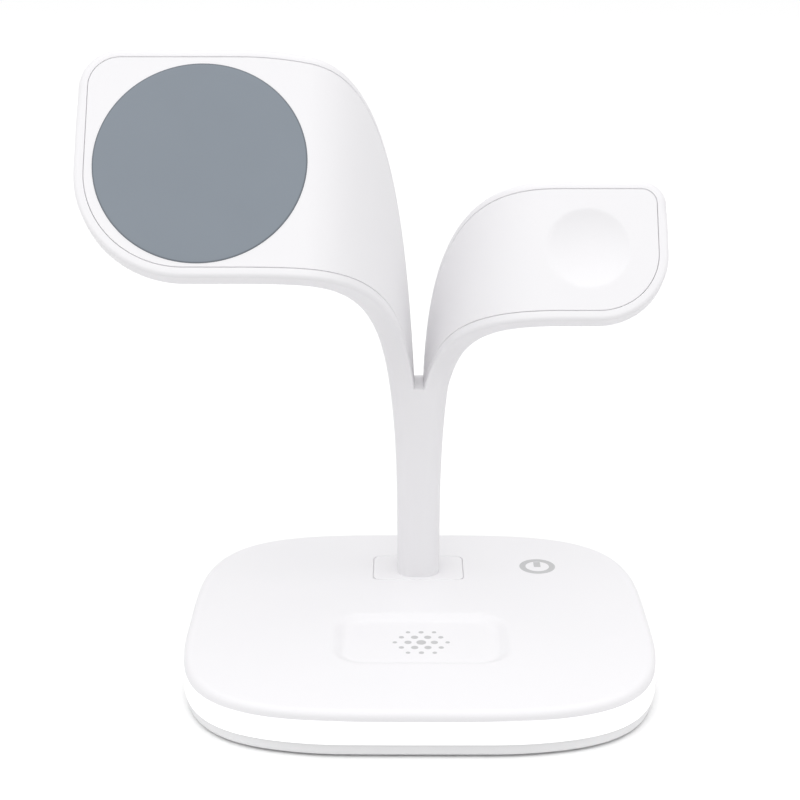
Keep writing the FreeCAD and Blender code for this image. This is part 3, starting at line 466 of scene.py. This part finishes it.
def make_finishes():
    """Finishes that several pieces share, by their short names."""
    colours = bpy.context.scene.station_colours
    glow = bpy.context.scene.studio_light.band_glow
    return {
        # Satin white with broad, soft highlights
        "shell": moulded("moulded_abs_white", colours.shell, 0.5, 0.45, 0.08),
        "tray": moulded("moulded_abs_grey", colours.tray, 0.5, 0.5, 0.12),
        # Milky and smooth, a little bright by itself
        "band": moulded("opal_polycarbonate", colours.band, 0.35, 0.9, 0.03, 0.004, glow, 1.58),
        # Dull grey with a rough skin
        "mat": moulded("anti_slip_rubber", srgb("#8E8E90"), 0.8, 0.6, 0.3, 0.05, 0.0, 1.52),
        # Flat grey ink
        "sign": moulded("pad_print_ink", colours.sign, 0.55, 0.3, 0.05, 0.02, 0.0, 1.5),
        # Black and gritty
        "ferrite": moulded("sintered_ferrite", srgb("#2B2B2E"), 0.7, 0.4, 0.3, 0.1),
        "chip": moulded("moulded_epoxy", srgb("#1E1E20"), 0.55, 0.3, 0.2, 0.08),
        "strip": moulded("white_flex_circuit", srgb("#EDEDE8"), 0.5, 0.8, 0.05),
        # Yellow and glossy, lit from within
        "lamp": moulded("phosphor_resin", srgb("#F3DE86"), 0.3, 0.4, 0.05, 0.05, 1.2),
        # Bright streaks along the drawing direction
        "steel": bare_metal("drawn_steel", srgb("#C4C6C8"), 0.32, 0.25, (1.0, 6.0, 6.0)),
        # Warmer and smoother than steel
        "nickel": bare_metal("nickel_plating", srgb("#CFCBC2"), 0.22, 0.8),
        "board": solder_mask("solder_masked_glass_fibre"),
    }


def finish_named(key):
    """Shared finish of one kind; the first call makes them all."""
    if not FINISHES:
        FINISHES.update(make_finishes())
    return FINISHES[key]


# Base cover
RAY_LIMIT = 200.0


def meet_outline(turn, middle, held):
    """Points where rays from a middle leave a flat shape; held(spots) tells what lies in it."""
    way = np.stack((np.cos(turn), np.sin(turn)), axis=-1)
    end = np.full(len(turn), RAY_LIMIT)
    reach = halving(end, lambda run: held(np.asarray(middle) + way * run[:, None]))
    return np.asarray(middle) + way * reach[:, None]


def in_base(spots):
    """Whether points lie in the base outline |x/a|^p + |y/b|^p = 1."""
    return (np.abs(spots / np.asarray(BASE_HALF)) ** BASE_POWER).sum(axis=1) < 1


def base_normal(spot):
    """Outward direction of the base outline: the gradient of |x/a|^p + |y/b|^p."""
    size = np.asarray(BASE_HALF)
    slope = np.sign(spot) * np.abs(spot / size) ** (BASE_POWER - 1) / size
    return slope / np.linalg.norm(slope, axis=1)[:, None]


def block_distance(x, y, middle, size, corner):
    """Signed distance to a rounded rectangle, negative inside."""
    dx = np.abs(x - middle[0]) - (size[0] / 2 - corner)
    dy = np.abs(y - middle[1]) - (size[1] / 2 - corner)
    outside = np.hypot(np.maximum(dx, 0), np.maximum(dy, 0))
    return outside + np.minimum(np.maximum(dx, dy), 0) - corner


def foot_outline(turn, grow):
    """Points of the foot plate's rounded rectangle, grown all round, at angles about the stem."""
    size = (FOOT_SIZE[0] + 2 * grow, FOOT_SIZE[1] + 2 * grow)

    def held(spots):
        x, y = spots.T
        return block_distance(x, y, STEM_MIDDLE, size, FOOT_CORNER + grow) < 0

    return meet_outline(turn, STEM_MIDDLE, held)


def level(spots, height):
    """Points of a flat outline at one height."""
    return np.concatenate((spots, np.full((len(spots), 1), height)), axis=1)


def pole(middle, height, count):
    """Points drawn together in one spot, which close a run of rings."""
    return level(np.repeat(np.asarray(middle)[None], count, axis=0), height)


def recess_drop(x, y, depth):
    """Depth of the earbud recess: a soft step of the distance inside its rounded rectangle."""
    inside = -block_distance(x, y, RECESS_MIDDLE, RECESS_SIZE, RECESS_CORNER)
    return depth * smooth_step(inside / RECESS_SLOPE)


class STATION_OT_base_cover(bpy.types.Operator):
    """Top cover of the base: rings from the foot pocket to the rounded edge, with the recess"""

    bl_idname = "station.base_cover"
    bl_label = "Base cover"

    def execute(self, context):
        depth = context.scene.station_sizes.recess_depth / MM
        turn = full_turn(560)
        pocket = foot_outline(turn, FOOT_GAP)
        lip = foot_outline(turn, FOOT_GAP + FOOT_BREAK)
        rim = meet_outline(turn, STEM_MIDDLE, in_base)
        out = base_normal(rim)
        inner = rim - out * BASE_ROUND
        under = rim - out * BAND_WALL
        share = np.linspace(0, 1, 125)[:, None, None]
        flat = lip[None] + (inner - lip)[None] * share
        height = BASE_TOP - recess_drop(flat[..., 0], flat[..., 1], depth)
        arc = np.linspace(0, math.pi / 2, 9)[1:, None, None]
        edge = inner[None] + out[None] * BASE_ROUND * np.sin(arc)
        edge_height = BASE_TOP - BASE_ROUND + BASE_ROUND * np.cos(arc) + 0 * edge[..., :1]
        rings = np.concatenate((
            pole(STEM_MIDDLE, FOOT_SEAT, len(turn))[None],
            level(pocket, FOOT_SEAT)[None],
            level(pocket, BASE_TOP - FOOT_BREAK)[None],
            np.concatenate((flat, height[..., None]), axis=-1),
            np.concatenate((edge, edge_height), axis=-1),
            level(rim, BAND_TOP + COVER_BREAK)[None],
            level(rim - out * COVER_BREAK, BAND_TOP)[None],
            level(under, BAND_TOP)[None],
            level(under, COVER_UNDER)[None],
            pole(STEM_MIDDLE, COVER_UNDER, len(turn))[None],
        ))
        patches = [grid(rings, wrap_columns=True)]
        cover = build("base_cover_shell", patches, finish_named("shell"))
        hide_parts("base_top_cover")
        return {"FINISHED"}


# Leaves
def bezier(points, t):
    """Points of a cubic curve with four control points."""
    p, q, r, s = (np.asarray(v)[None] for v in points)
    t = np.asarray(t)[:, None]
    u = 1 - t
    return p * u ** 3 + q * 3 * u * u * t + r * 3 * u * t * t + s * t ** 3


def edge_curves(leaf, which):
    """Control points of the shoulder curve and of the fold curve along one edge of a leaf."""
    run, sink, slope, reach, drop, swing = leaf[which]
    side = leaf["side"]
    middle = np.asarray(leaf["middle"])
    turn = -side * X_AXIS - ALONG * slope
    start = middle + ALONG * run + X_AXIS * (leaf["bend"] - middle[0])
    knee = middle + ALONG * (run - sink) + X_AXIS * (leaf["fold"] - middle[0])
    stem_face = STEM_FRONT if which == "front" else STEM_BACK
    end = np.array((side * SLOT_HALF, stem_face, SLOT_LEVEL))
    grip = abs(leaf["fold"] - leaf["bend"]) / 3
    shoulder = (start, start - X_AXIS * side * grip, knee - turn * grip, knee)
    fold = (knee, knee + turn * reach, end + np.array((side * swing, 0.0, drop)), end)
    return shoulder, fold


def fold_share(t):
    """Share of the fold that a place along the whole bend has passed."""
    return np.clip((t - SHOULDER_SHARE) / (1 - SHOULDER_SHARE), 0, 1)


def partner(front, back, u):
    """Place on the back edge whose section with a front edge point has its planned lean."""
    ease = smooth_step((u - TURN_START) / (1 - TURN_START))
    lean = LEAF_LEAN * (1 - ease)
    upright = np.stack((0 * lean, -np.sin(lean), np.cos(lean)), axis=-1)
    start = bezier(front, u)

    def above(place):
        return ((bezier(back, place) - start) * upright).sum(axis=1) > 0

    return np.where(u >= 1, 1.0, halving(np.ones(len(u)), above))


def raw_frames(leaf, t):
    """Edge points and face directions of the bend at places t, 0 at the leaf, 1 at the slot.

    The face direction is the cross product of the run along both edges and the section.
    """
    low_shoulder, low_fold = edge_curves(leaf, "front")
    high_shoulder, high_fold = edge_curves(leaf, "back")
    side = leaf["side"]
    u = fold_share(t)
    s = np.clip(t / SHOULDER_SHARE, 0, 1)
    flat = (t <= SHOULDER_SHARE)[:, None]

    def high_at(place):
        return bezier(high_fold, partner(low_fold, high_fold, place))

    low = np.where(flat, bezier(low_shoulder, s), bezier(low_fold, u))
    high = np.where(flat, bezier(high_shoulder, s), high_at(u))
    u0 = np.clip(u - 1e-3, 0, 1)
    u1 = np.clip(u + 1e-3, 0, 1)
    run = bezier(low_fold, u1) - bezier(low_fold, u0) + high_at(u1) - high_at(u0)
    face = np.cross(run, high - low) * -side
    face = face / np.linalg.norm(face, axis=1)[:, None]
    blend = smooth_step((u - LINE_UP_START) / (1 - LINE_UP_START))[:, None]
    face = face * (1 - blend) - X_AXIS * side * blend
    return low, high, np.where(flat, OUTWARD[None], face)


def bend_frames(leaf, t):
    """Frames of the bend, with face directions averaged so that the back turns softly too."""
    low, high, face = raw_frames(leaf, t)
    reach = SOFTEN_REACH * np.clip((1 - t) / SOFTEN_FADE, 0, 1)
    for step in np.linspace(-1, 1, SOFTEN_STEPS):
        face = face + raw_frames(leaf, np.clip(t + reach * step, 0, 1))[2]
    width = high - low
    width = width / np.linalg.norm(width, axis=1)[:, None]
    face = face - width * (face * width).sum(axis=1)[:, None]
    face = face / np.linalg.norm(face, axis=1)[:, None]
    return low, high, face, width


def tip_path(leaf, which, counts):
    """Flat edge from the bend round its corner to the middle of the tip: straight, arc, end.

    Gives its points and the directions that point into the leaf.
    """
    straight, arc, end = counts
    side = leaf["side"]
    middle = np.asarray(leaf["middle"])
    run = leaf[which][0]
    back_corner, front_corner = leaf["corners"]
    corner, way = (front_corner, 1.0) if which == "front" else (back_corner, -1.0)
    x_bend = leaf["bend"] - middle[0]
    x_tip = side * leaf["tip"]
    x_arc = x_tip - side * corner
    v_arc = run + way * corner
    stop = (leaf["back"][0] - back_corner + leaf["front"][0] + front_corner) / 2
    first = np.linspace(0, 1, straight + 1)[1:-1]
    angle = np.linspace(0, math.pi / 2, arc + 1)
    last = np.linspace(0, 1, end + 1)[1:]
    sine, cosine = np.sin(angle), np.cos(angle)
    x = np.concatenate((
        x_bend + (x_arc - x_bend) * first, x_arc + side * corner * sine, x_tip + 0 * last))
    v = np.concatenate((
        run + 0 * first, v_arc - way * corner * cosine, v_arc + (stop - v_arc) * last))
    into_x = np.concatenate((0 * first, -side * sine, -side + 0 * last))
    into_v = np.concatenate((way + 0 * first, way * cosine, 0 * last))
    points = middle[None] + x[:, None] * X_AXIS[None] + v[:, None] * ALONG[None]
    directions = into_x[:, None] * X_AXIS[None] + into_v[:, None] * ALONG[None]
    return points, directions


def leaf_edges(leaf, t, counts):
    """Both edges of a whole leaf from the slot to the middle of its tip.

    Gives the points of both, their inward directions, the face directions and t.
    """
    low, high, face, width = bend_frames(leaf, t)
    low_tip, low_in = tip_path(leaf, "front", counts)
    high_tip, high_in = tip_path(leaf, "back", counts)
    count = len(low_tip)
    lows = np.concatenate((low, low_tip))
    highs = np.concatenate((high, high_tip))
    low_way = np.concatenate((width, low_in))
    high_way = np.concatenate((-width, high_in))
    faces = np.concatenate((face, np.repeat(OUTWARD[None], count, axis=0)))
    places = np.concatenate((t, np.zeros(count)))
    return lows, highs, low_way, high_way, faces, places


def across(first, last, count):
    """Points between two rows of points, ends left out."""
    share = np.linspace(0, 1, count + 2)[1:-1][None, :, None]
    return first[:, None] + (last - first)[:, None] * share


def quarter(count):
    """Sines and cosines of a quarter turn in even steps."""
    angle = np.linspace(0, math.pi / 2, count)
    return np.sin(angle), np.cos(angle)


def shell_profile(places, radius):
    """Inset and depth of one half section of a leaf shell.

    It runs over the hollow, ledge, seat, rim, edge arc, side and back arc.
    """
    u = fold_share(places)[:, None]
    inner = radius[:, None] + (SLOT_RADIUS - radius[:, None]) * u ** 3
    outer = LEAF_RADIUS + (OUTER_CORNER - LEAF_RADIUS) * u ** 3
    depth = LEAF_DEPTH + (STEM_HALF + STEM_FLARE - SLOT_HALF - LEAF_DEPTH) * u
    floor = LEAF_FLOOR + (DUCT_DEPTH - LEAF_FLOOR) * u
    seat = RIM - SKIN_GAP
    one = np.ones_like(u)
    narrow = one * (RIM + LEDGE)
    ledge = one * (SKIN + SKIN_GAP)
    sine, cosine = (v[None] for v in quarter(ARC_STEPS))
    sides = np.linspace(0, 1, SIDE_STEPS + 2)[None, 1:-1]
    inset = (
        narrow, narrow, one * seat, one * seat, one * (seat - SEAM_BREAK), (seat + inner) / 2,
        inner - inner * sine, 0 * one * sides, outer - outer * cosine)
    deep = (
        floor, ledge, ledge, one * SEAM_BREAK, 0 * one, 0 * one,
        inner - inner * cosine, inner + (depth - outer - inner) * sides,
        depth - outer + outer * sine)
    return np.concatenate(inset, axis=1), np.concatenate(deep, axis=1)


def edge_points(edge, way, face, inset, deep):
    """Points at insets from an edge and depths below the face."""
    return edge[:, None] + way[:, None] * inset[..., None] - face[:, None] * deep[..., None]


def leaf_shell(leaf, t, counts):
    """Shell of one leaf: a closed section carried from the slot, its first row, to the tip."""
    lows, highs, low_way, high_way, faces, places = leaf_edges(leaf, t, counts)
    end = counts[2]
    crisp = np.full(len(places), CRISP_RADIUS)
    soft = np.full(len(places), LEAF_RADIUS)
    ease = smooth_step(np.linspace(0, 1, end + 1)[1:])
    soft[-end:] += (CRISP_RADIUS - LEAF_RADIUS) * ease
    low = edge_points(lows, low_way, faces, *shell_profile(places, crisp))
    high = edge_points(highs, high_way, faces, *shell_profile(places, soft))
    back = across(low[:, -1], high[:, -1], BACK_STEPS)
    hollow = across(high[:, 0], low[:, 0], BACK_STEPS)
    return np.concatenate((low, back, high[:, ::-1], hollow), axis=1)


def stem_half_loop(half, corner):
    """Half section of the stem right of the slot: straight, arc, straight, arc, straight."""
    start = min(SLOT_HALF + SLOT_RADIUS, 0.6 * (half - corner))
    sides = np.linspace(0, 1, SIDE_STEPS + 2)[:-1]
    backs = np.linspace(0, 1, BACK_STEPS + 2)[1:-1]
    sine, cosine = quarter(ARC_STEPS)
    out = start + (half - corner - start) * sides
    x = np.concatenate((
        out, half - corner + corner * sine, half + 0 * backs,
        half - corner + corner * cosine, out[::-1]))
    y = np.concatenate((
        STEM_FRONT + 0 * sides, STEM_FRONT + corner - corner * cosine,
        STEM_FRONT + corner + (STEM_BACK - STEM_FRONT - 2 * corner) * backs,
        STEM_BACK - corner + corner * sine, STEM_BACK + 0 * sides))
    return np.stack((x, y), axis=-1)


def stem_loop(share):
    """Whole section of the stem at a share of its height."""
    half = STEM_HALF + STEM_FLARE * share ** STEM_FLARE_POWER
    corner = STEM_CORNER + (OUTER_CORNER - STEM_CORNER) * share
    right = stem_half_loop(half, corner)
    left = right[::-1] * np.array((-1.0, 1.0))
    start = right[0, 0]
    gap = np.linspace(start, -start, 6)[1:-1]
    rear = np.stack((gap, STEM_BACK + 0 * gap), axis=-1)
    front = np.stack((-gap, STEM_FRONT + 0 * gap), axis=-1)
    height = BASE_TOP + (SLOT_LEVEL - BASE_TOP) * share
    return level(np.concatenate((right, rear, left, front)), height)


def slot_floor(section):
    """Floor of the slot: straight lines between the lips and hollows of mirrored sections."""
    lips = LIP_POINTS + ARC_STEPS
    hollow_start = len(section) - BACK_STEPS
    low = section[:lips][::-1]
    hollow = section[hollow_start:][::-1]
    high = section[hollow_start - lips:hollow_start][::-1]
    right = np.concatenate((low, hollow, high))
    right[:, 2] = SLOT_LEVEL
    left = right * np.array((-1.0, 1.0, 1.0))
    rows = (left[:, None], across(left, right, 4), right[:, None])
    return grid(np.concatenate(rows, axis=1))


class STATION_OT_sprout(bpy.types.Operator):
    """Foot plate, stem and both leaf shells as one moulding, carried along their edge curves"""

    bl_idname = "station.sprout"
    bl_label = "Sprout"

    def execute(self, context):
        t = np.linspace(1, 0, 150)
        phone = leaf_shell(PHONE_LEAF, t, (14, 26, 14))
        watch = leaf_shell(WATCH_LEAF, t, (10, 22, 10))
        loops = [stem_loop(share) for share in np.linspace(1, 0, 64)]
        foot = loops[-1][:, :2] - np.asarray(STEM_MIDDLE)
        turn = np.arctan2(foot[:, 1], foot[:, 0])
        edge = foot_outline(turn, 0.0)
        loops.append(level(foot_outline(turn, -FOOT_BREAK), BASE_TOP))
        loops.append(level(edge, BASE_TOP - FOOT_BREAK))
        loops.append(level(edge, FOOT_SEAT + FOOT_LIFT))
        loops.append(pole(STEM_MIDDLE, FOOT_SEAT + FOOT_LIFT, len(turn)))
        patches = [
            grid(np.stack(loops), wrap_columns=True),
            grid(phone, wrap_columns=True),
            grid(watch, wrap_columns=True),
            slot_floor(watch[0]),
        ]
        sprout = build("sprout_shell", patches, finish_named("shell"), 42.0)
        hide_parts("sprout_frame")
        return {"FINISHED"}


def leaf_cover(leaf, sink):
    """Inset cover of one leaf: a plate carried from the slot to the tip, lowered by sink()."""
    t = np.concatenate((np.array((0.996, 0.99)), np.linspace(0.98, 0, 150)))
    lows, highs, low_way, high_way, faces, _ = leaf_edges(leaf, t, (60, 60, 20))
    inset = np.array((RIM, RIM, RIM + SEAM_BREAK))[None] + 0 * lows[:, :1]
    deep = np.array((SKIN, SEAM_BREAK, 0.0))[None] + 0 * lows[:, :1]
    low = edge_points(lows, low_way, faces, inset, deep)
    high = edge_points(highs, high_way, faces, inset, deep)
    top = across(low[:, -1], high[:, -1], 84)
    base = across(high[:, 0], low[:, 0], 84)
    middle = np.asarray(leaf["middle"])
    for strip in (top, base):
        radius = np.linalg.norm(np.cross(strip - middle, OUTWARD), axis=-1)
        strip -= OUTWARD * sink(radius)[..., None]
    rows = np.concatenate((low, top, high[:, ::-1], base), axis=1)
    half = rows.shape[1] // 2
    shut = rows[:1].copy()
    shut[0, half:] = shut[0, :half][::-1]
    return grid(np.concatenate((shut, rows)), wrap_columns=True)


class STATION_OT_leaf_covers(bpy.types.Operator):
    """Inset covers of both leaves, with the seat of the pad and the watch dish"""

    bl_idname = "station.leaf_covers"
    bl_label = "Leaf covers"

    def execute(self, context):
        sizes = context.scene.station_sizes
        pad = sizes.pad_diameter / MM / 2
        dish = sizes.dish_diameter / MM / 2
        depth = sizes.dish_depth / MM
        ball = (dish ** 2 + depth ** 2) / (2 * depth)

        def pad_seat(radius):
            return SEAT_DEPTH * smooth_step((pad - SEAT_INSET - radius) / SEAT_SLOPE)

        def watch_dish(radius):
            bowl = np.sqrt(np.maximum(ball ** 2 - radius ** 2, 0)) - (ball - depth)
            return (bowl + np.sqrt(bowl ** 2 + DISH_SOFT)) / 2 * (radius < dish + 4)

        shell = finish_named("shell")
        phone = build("phone_leaf_face", [leaf_cover(PHONE_LEAF, pad_seat)], shell)
        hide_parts("phone_leaf_cover")
        watch = build("watch_leaf_face", [leaf_cover(WATCH_LEAF, watch_dish)], shell)
        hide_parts("watch_leaf_cover")
        return {"FINISHED"}


class STATION_OT_phone_pad(bpy.types.Operator):
    """Round phone pad: a turned profile with a small rounded edge, laid on the leaf"""

    bl_idname = "station.phone_pad"
    bl_label = "Phone pad"

    def execute(self, context):
        sizes = context.scene.station_sizes
        radius = sizes.pad_diameter / MM / 2
        proud = sizes.pad_proud / MM
        sine, cosine = quarter(7)
        rings = np.linspace(0, radius - PAD_ROUND, 24)
        arc_radius = radius - PAD_ROUND + PAD_ROUND * sine
        arc_height = proud - PAD_ROUND + PAD_ROUND * cosine
        under = ((radius, -PAD_SIDE), (radius - PAD_ROUND, -PAD_UNDER), (0.0, -PAD_UNDER))
        profile = np.concatenate((
            np.stack((rings, proud + 0 * rings), axis=-1),
            np.stack((arc_radius, arc_height), axis=-1)[1:],
            np.array(under),
        ))
        points, faces = lathe(profile, 192)
        middle = np.asarray(PHONE_LEAF["middle"])
        placed = middle + points @ np.stack((X_AXIS, ALONG, OUTWARD))
        colour = tuple(context.scene.station_colours.pad)
        material = silicone_pad("soft_touch_silicone", colour, tuple(middle * MM), radius * MM)
        pad = build("phone_pad_disc", [(placed, faces)], material)
        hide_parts("phone_pad")
        return {"FINISHED"}


def touch_sign(diameter):
    """Patches of the touch sign: a flat ring and a bar that stands in it."""
    low = BASE_TOP - FILM_SINK
    outer = diameter / 2
    inner = outer * SIGN_HOLLOW
    turn = full_turn(96)
    circle = np.stack((np.cos(turn), np.sin(turn)), axis=-1)
    corners = ((inner, low), (inner, low + FILM), (outer, low + FILM), (outer, low))
    ring = np.stack([level(SIGN_MIDDLE + r * circle, h) for r, h in corners], axis=1)
    bar_x = np.array((-BAR_HALF, BAR_HALF, BAR_HALF, -BAR_HALF))
    bar_y = np.repeat(BAR_SPAN, 2)
    bar = SIGN_MIDDLE + np.stack((bar_x, bar_y), axis=-1)
    middle = bar.mean(axis=0)
    rows = np.stack((
        pole(middle, low, 4), level(bar, low), level(bar, low + FILM), pole(middle, low + FILM, 4)))
    return [grid(ring, wrap_rows=True, wrap_columns=True), grid(rows, wrap_columns=True)]


def recess_dots(step, floor):
    """Patches of the printed dots: a hexagon of discs that shrink away from its middle."""
    steps = np.arange(-DOT_RINGS, DOT_RINGS + 1)
    i, j = np.meshgrid(steps, steps, indexing="ij")
    kept = np.abs(i + j) <= DOT_RINGS
    x = (i + j / 2)[kept] * step
    y = (j * math.sqrt(0.75))[kept] * step
    radius = DOT_RADIUS - DOT_SHRINK * np.hypot(x, y) / step
    low, high = -FILM_SINK, FILM - FILM_SINK
    profile = np.array(((0.0, low), (1.0, low), (1.0, high), (0.0, high)))
    patches = []
    for dot_x, dot_y, r in zip(x + RECESS_MIDDLE[0], y + RECESS_MIDDLE[1], radius):
        points, faces = lathe(profile * np.array((r, 1.0)), 20)
        patches.append((points + np.array((dot_x, dot_y, floor)), faces))
    return patches


class STATION_OT_printed_signs(bpy.types.Operator):
    """Printed touch sign and printed dots as thin films of ink on the cover"""

    bl_idname = "station.printed_signs"
    bl_label = "Printed signs"

    def execute(self, context):
        sizes = context.scene.station_sizes
        ink = finish_named("sign")
        build("touch_sign", touch_sign(sizes.sign_diameter / MM), ink)
        floor = BASE_TOP - sizes.recess_depth / MM
        build("recess_dots", recess_dots(sizes.dot_spacing / MM, floor), ink)
        return {"FINISHED"}


# Solids that show as they are, with the finish of each
PLAIN_NODES = {
    "anti_slip_mat": "mat", "base_bottom_tray": "tray", "light_band": "band",
    "phone_shield": "ferrite", "phone_magnets": "nickel", "watch_magnet": "nickel",
    "watch_shield": "ferrite", "earbud_shield": "ferrite", "ballast_plate": "steel",
    "main_board": "board", "board_chips": "chip", "usb_c_shell": "steel",
    "usb_c_tongue": "chip", "touch_spring": "nickel", "lamp_strip": "strip", "lamps": "lamp",
    "base_screws": "steel", "foot_screws": "steel", "board_screws": "steel",
}
COILS = {
    "phone": (PHONE_LEAF["middle"], OUTWARD),
    "watch": (WATCH_LEAF["middle"], OUTWARD),
    "earbud": ((*RECESS_MIDDLE, 0.0), (0.0, 0.0, 1.0)),
}


class STATION_OT_finishes(bpy.types.Operator):
    """Finishes of the solids that show as they are"""

    bl_idname = "station.finishes"
    bl_label = "Finishes"

    def execute(self, context):
        finishes = {name: finish_named(key) for name, key in PLAIN_NODES.items()}
        for coil, (middle, axis) in COILS.items():
            place = tuple(v * MM for v in middle)
            finishes[coil + "_coil"] = wound_copper(coil + "_copper_winding", place, tuple(axis))
        for name, material in finishes.items():
            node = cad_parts[name]
            if not node.material_slots:
                node.data.materials.append(material)
            for holder in node.material_slots:
                holder.material = material
        return {"FINISHED"}


# Studio, in metres
FLOOR_WHITE = (0.97, 0.97, 0.97, 1.0)
FLOOR_HALF = (6.0, 6.0)
FLOOR_LEVEL = -0.00004
NEAR_FLOOR_HALF = (0.0655, 0.0595)
NEAR_FLOOR_LEVEL = -0.00001
HORIZON_TOP = 0.12
LIGHT_AIM = (0.0, 0.0, 0.06)
SIDE_BOX = (1.1, -0.3, 0.9)
SIDE_BOX_SIZE = (1.0, 1.0)
FRONT_BOX = (-0.3, -1.5, 2.25)
FRONT_BOX_SIZE = (2.4, 1.6)
CAMERA_PLACE = (-0.00411, -0.44802, 0.22442)
CAMERA_AIM = (-0.00533, 0.0, 0.07607)
CAMERA_LENS = 78.82


def floor_sheet(name, half, height, material):
    """Flat sheet of the studio floor."""
    x, y = np.meshgrid(
        np.linspace(-half[0], half[0], 5), np.linspace(-half[1], half[1], 5), indexing="ij")
    points = np.stack((x, y, height + 0 * x), axis=-1).reshape(-1, 3)
    mesh = bpy.data.meshes.new(name)
    mesh.from_pydata(points, [], grid_faces(5, 5))
    mesh.materials.append(material)
    sheet = bpy.data.objects.new(name, mesh)
    bpy.context.scene.collection.objects.link(sheet)
    return sheet


def turn_to(thing, aim):
    """Turn a light or camera to a point."""
    way = Vector(aim) - thing.location
    thing.rotation_euler = way.to_track_quat("-Z", "Y").to_euler()


def softbox(name, power, place, size):
    """Rectangular soft light turned to the station."""
    lamp = bpy.data.lights.new(name, "AREA")
    lamp.shape = "RECTANGLE"
    lamp.size, lamp.size_y = size
    lamp.energy = power
    box = bpy.data.objects.new(name, lamp)
    box.location = place
    turn_to(box, LIGHT_AIM)
    bpy.context.scene.collection.objects.link(box)


def studio_sky(light):
    """Sky that goes from the ground's light to an even one at the horizon, brighter on top."""
    world = bpy.data.worlds.new("studio_sky")
    world.use_nodes = True
    sky = world.node_tree
    way = add(sky, "ShaderNodeSeparateXYZ", {
        0: add(sky, "ShaderNodeTexCoord").outputs["Generated"]})
    even = add(sky, "ShaderNodeMapRange", {
        "Value": way.outputs["Z"], "From Min": 0.0, "From Max": HORIZON_TOP,
        "To Min": light.ground, "To Max": light.sky})
    rise = add(sky, "ShaderNodeMath", {0: way.outputs["Z"], 1: 0.0}, operation="MAXIMUM")
    zenith = add(sky, "ShaderNodeMath", {0: rise.outputs["Value"], 1: 3.0}, operation="POWER")
    glow = add(sky, "ShaderNodeMath", {
        0: zenith.outputs["Value"], 1: light.dome, 2: even.outputs["Result"]},
        operation="MULTIPLY_ADD")
    background = sky.nodes["Background"]
    background.inputs["Color"].default_value = (1.0, 1.0, 1.0, 1.0)
    sky.links.new(glow.outputs["Value"], background.inputs["Strength"])
    return world


class STATION_OT_studio(bpy.types.Operator):
    """Pale floor, soft light and the camera"""

    bl_idname = "station.studio"
    bl_label = "Studio"

    def execute(self, context):
        scene = context.scene
        light = scene.studio_light
        material, tree, _ = start_material("pale_floor")
        shader = add(tree, "ShaderNodeBsdfDiffuse", {"Color": FLOOR_WHITE})
        add(tree, "ShaderNodeOutputMaterial", {"Surface": shader.outputs["BSDF"]})
        # The wide floor throws no light back, since the sky's ground does; the near one does
        wide = floor_sheet("studio_floor", FLOOR_HALF, FLOOR_LEVEL, material)
        wide.visible_diffuse = False
        floor_sheet("studio_floor_near", NEAR_FLOOR_HALF, NEAR_FLOOR_LEVEL, material)
        scene.world = studio_sky(light)
        left_box = (-SIDE_BOX[0], SIDE_BOX[1], SIDE_BOX[2])
        softbox("left_softbox", light.sides, left_box, SIDE_BOX_SIZE)
        softbox("right_softbox", light.sides, SIDE_BOX, SIDE_BOX_SIZE)
        softbox("front_softbox", light.front, FRONT_BOX, FRONT_BOX_SIZE)
        scene.view_settings.view_transform = "Standard"
        lens = bpy.data.cameras.new("camera")
        lens.sensor_width = 36.0
        lens.lens = CAMERA_LENS
        lens.clip_start = 0.01
        lens.clip_end = 50.0
        camera = bpy.data.objects.new("camera", lens)
        camera.location = CAMERA_PLACE
        turn_to(camera, CAMERA_AIM)
        scene.collection.objects.link(camera)
        scene.camera = camera
        return {"FINISHED"}


class STATION_PT_panel(bpy.types.Panel):
    """Steps that build the station"""

    bl_idname = "STATION_PT_panel"
    bl_label = "Sprout charging station"
    bl_space_type = "VIEW_3D"
    bl_region_type = "UI"
    bl_category = "Sprout"

    def draw(self, context):
        for step in STEPS:
            self.layout.operator(step.bl_idname)


STEPS = (
    STATION_OT_base_cover,
    STATION_OT_sprout,
    STATION_OT_leaf_covers,
    STATION_OT_phone_pad,
    STATION_OT_printed_signs,
    STATION_OT_finishes,
    STATION_OT_studio,
)
GROUPS = (StationSizes, StationColours, StudioLight)


def register():
    """Register the property groups, the steps and the panel."""
    for kind in GROUPS + STEPS + (STATION_PT_panel,):
        bpy.utils.register_class(kind)
    bpy.types.Scene.station_sizes = bpy.props.PointerProperty(type=StationSizes)
    bpy.types.Scene.station_colours = bpy.props.PointerProperty(type=StationColours)
    bpy.types.Scene.studio_light = bpy.props.PointerProperty(type=StudioLight)


def unregister():
    """Remove what register added."""
    del bpy.types.Scene.station_sizes
    del bpy.types.Scene.station_colours
    del bpy.types.Scene.studio_light
    for kind in reversed(GROUPS + STEPS + (STATION_PT_panel,)):
        bpy.utils.unregister_class(kind)


def main():
    """Register the steps and build every piece in order."""
    register()
    bpy.ops.station.base_cover()
    bpy.ops.station.sprout()
    bpy.ops.station.leaf_covers()
    bpy.ops.station.phone_pad()
    bpy.ops.station.printed_signs()
    bpy.ops.station.finishes()
    bpy.ops.station.studio()


if __name__ == "__main__":
    main()
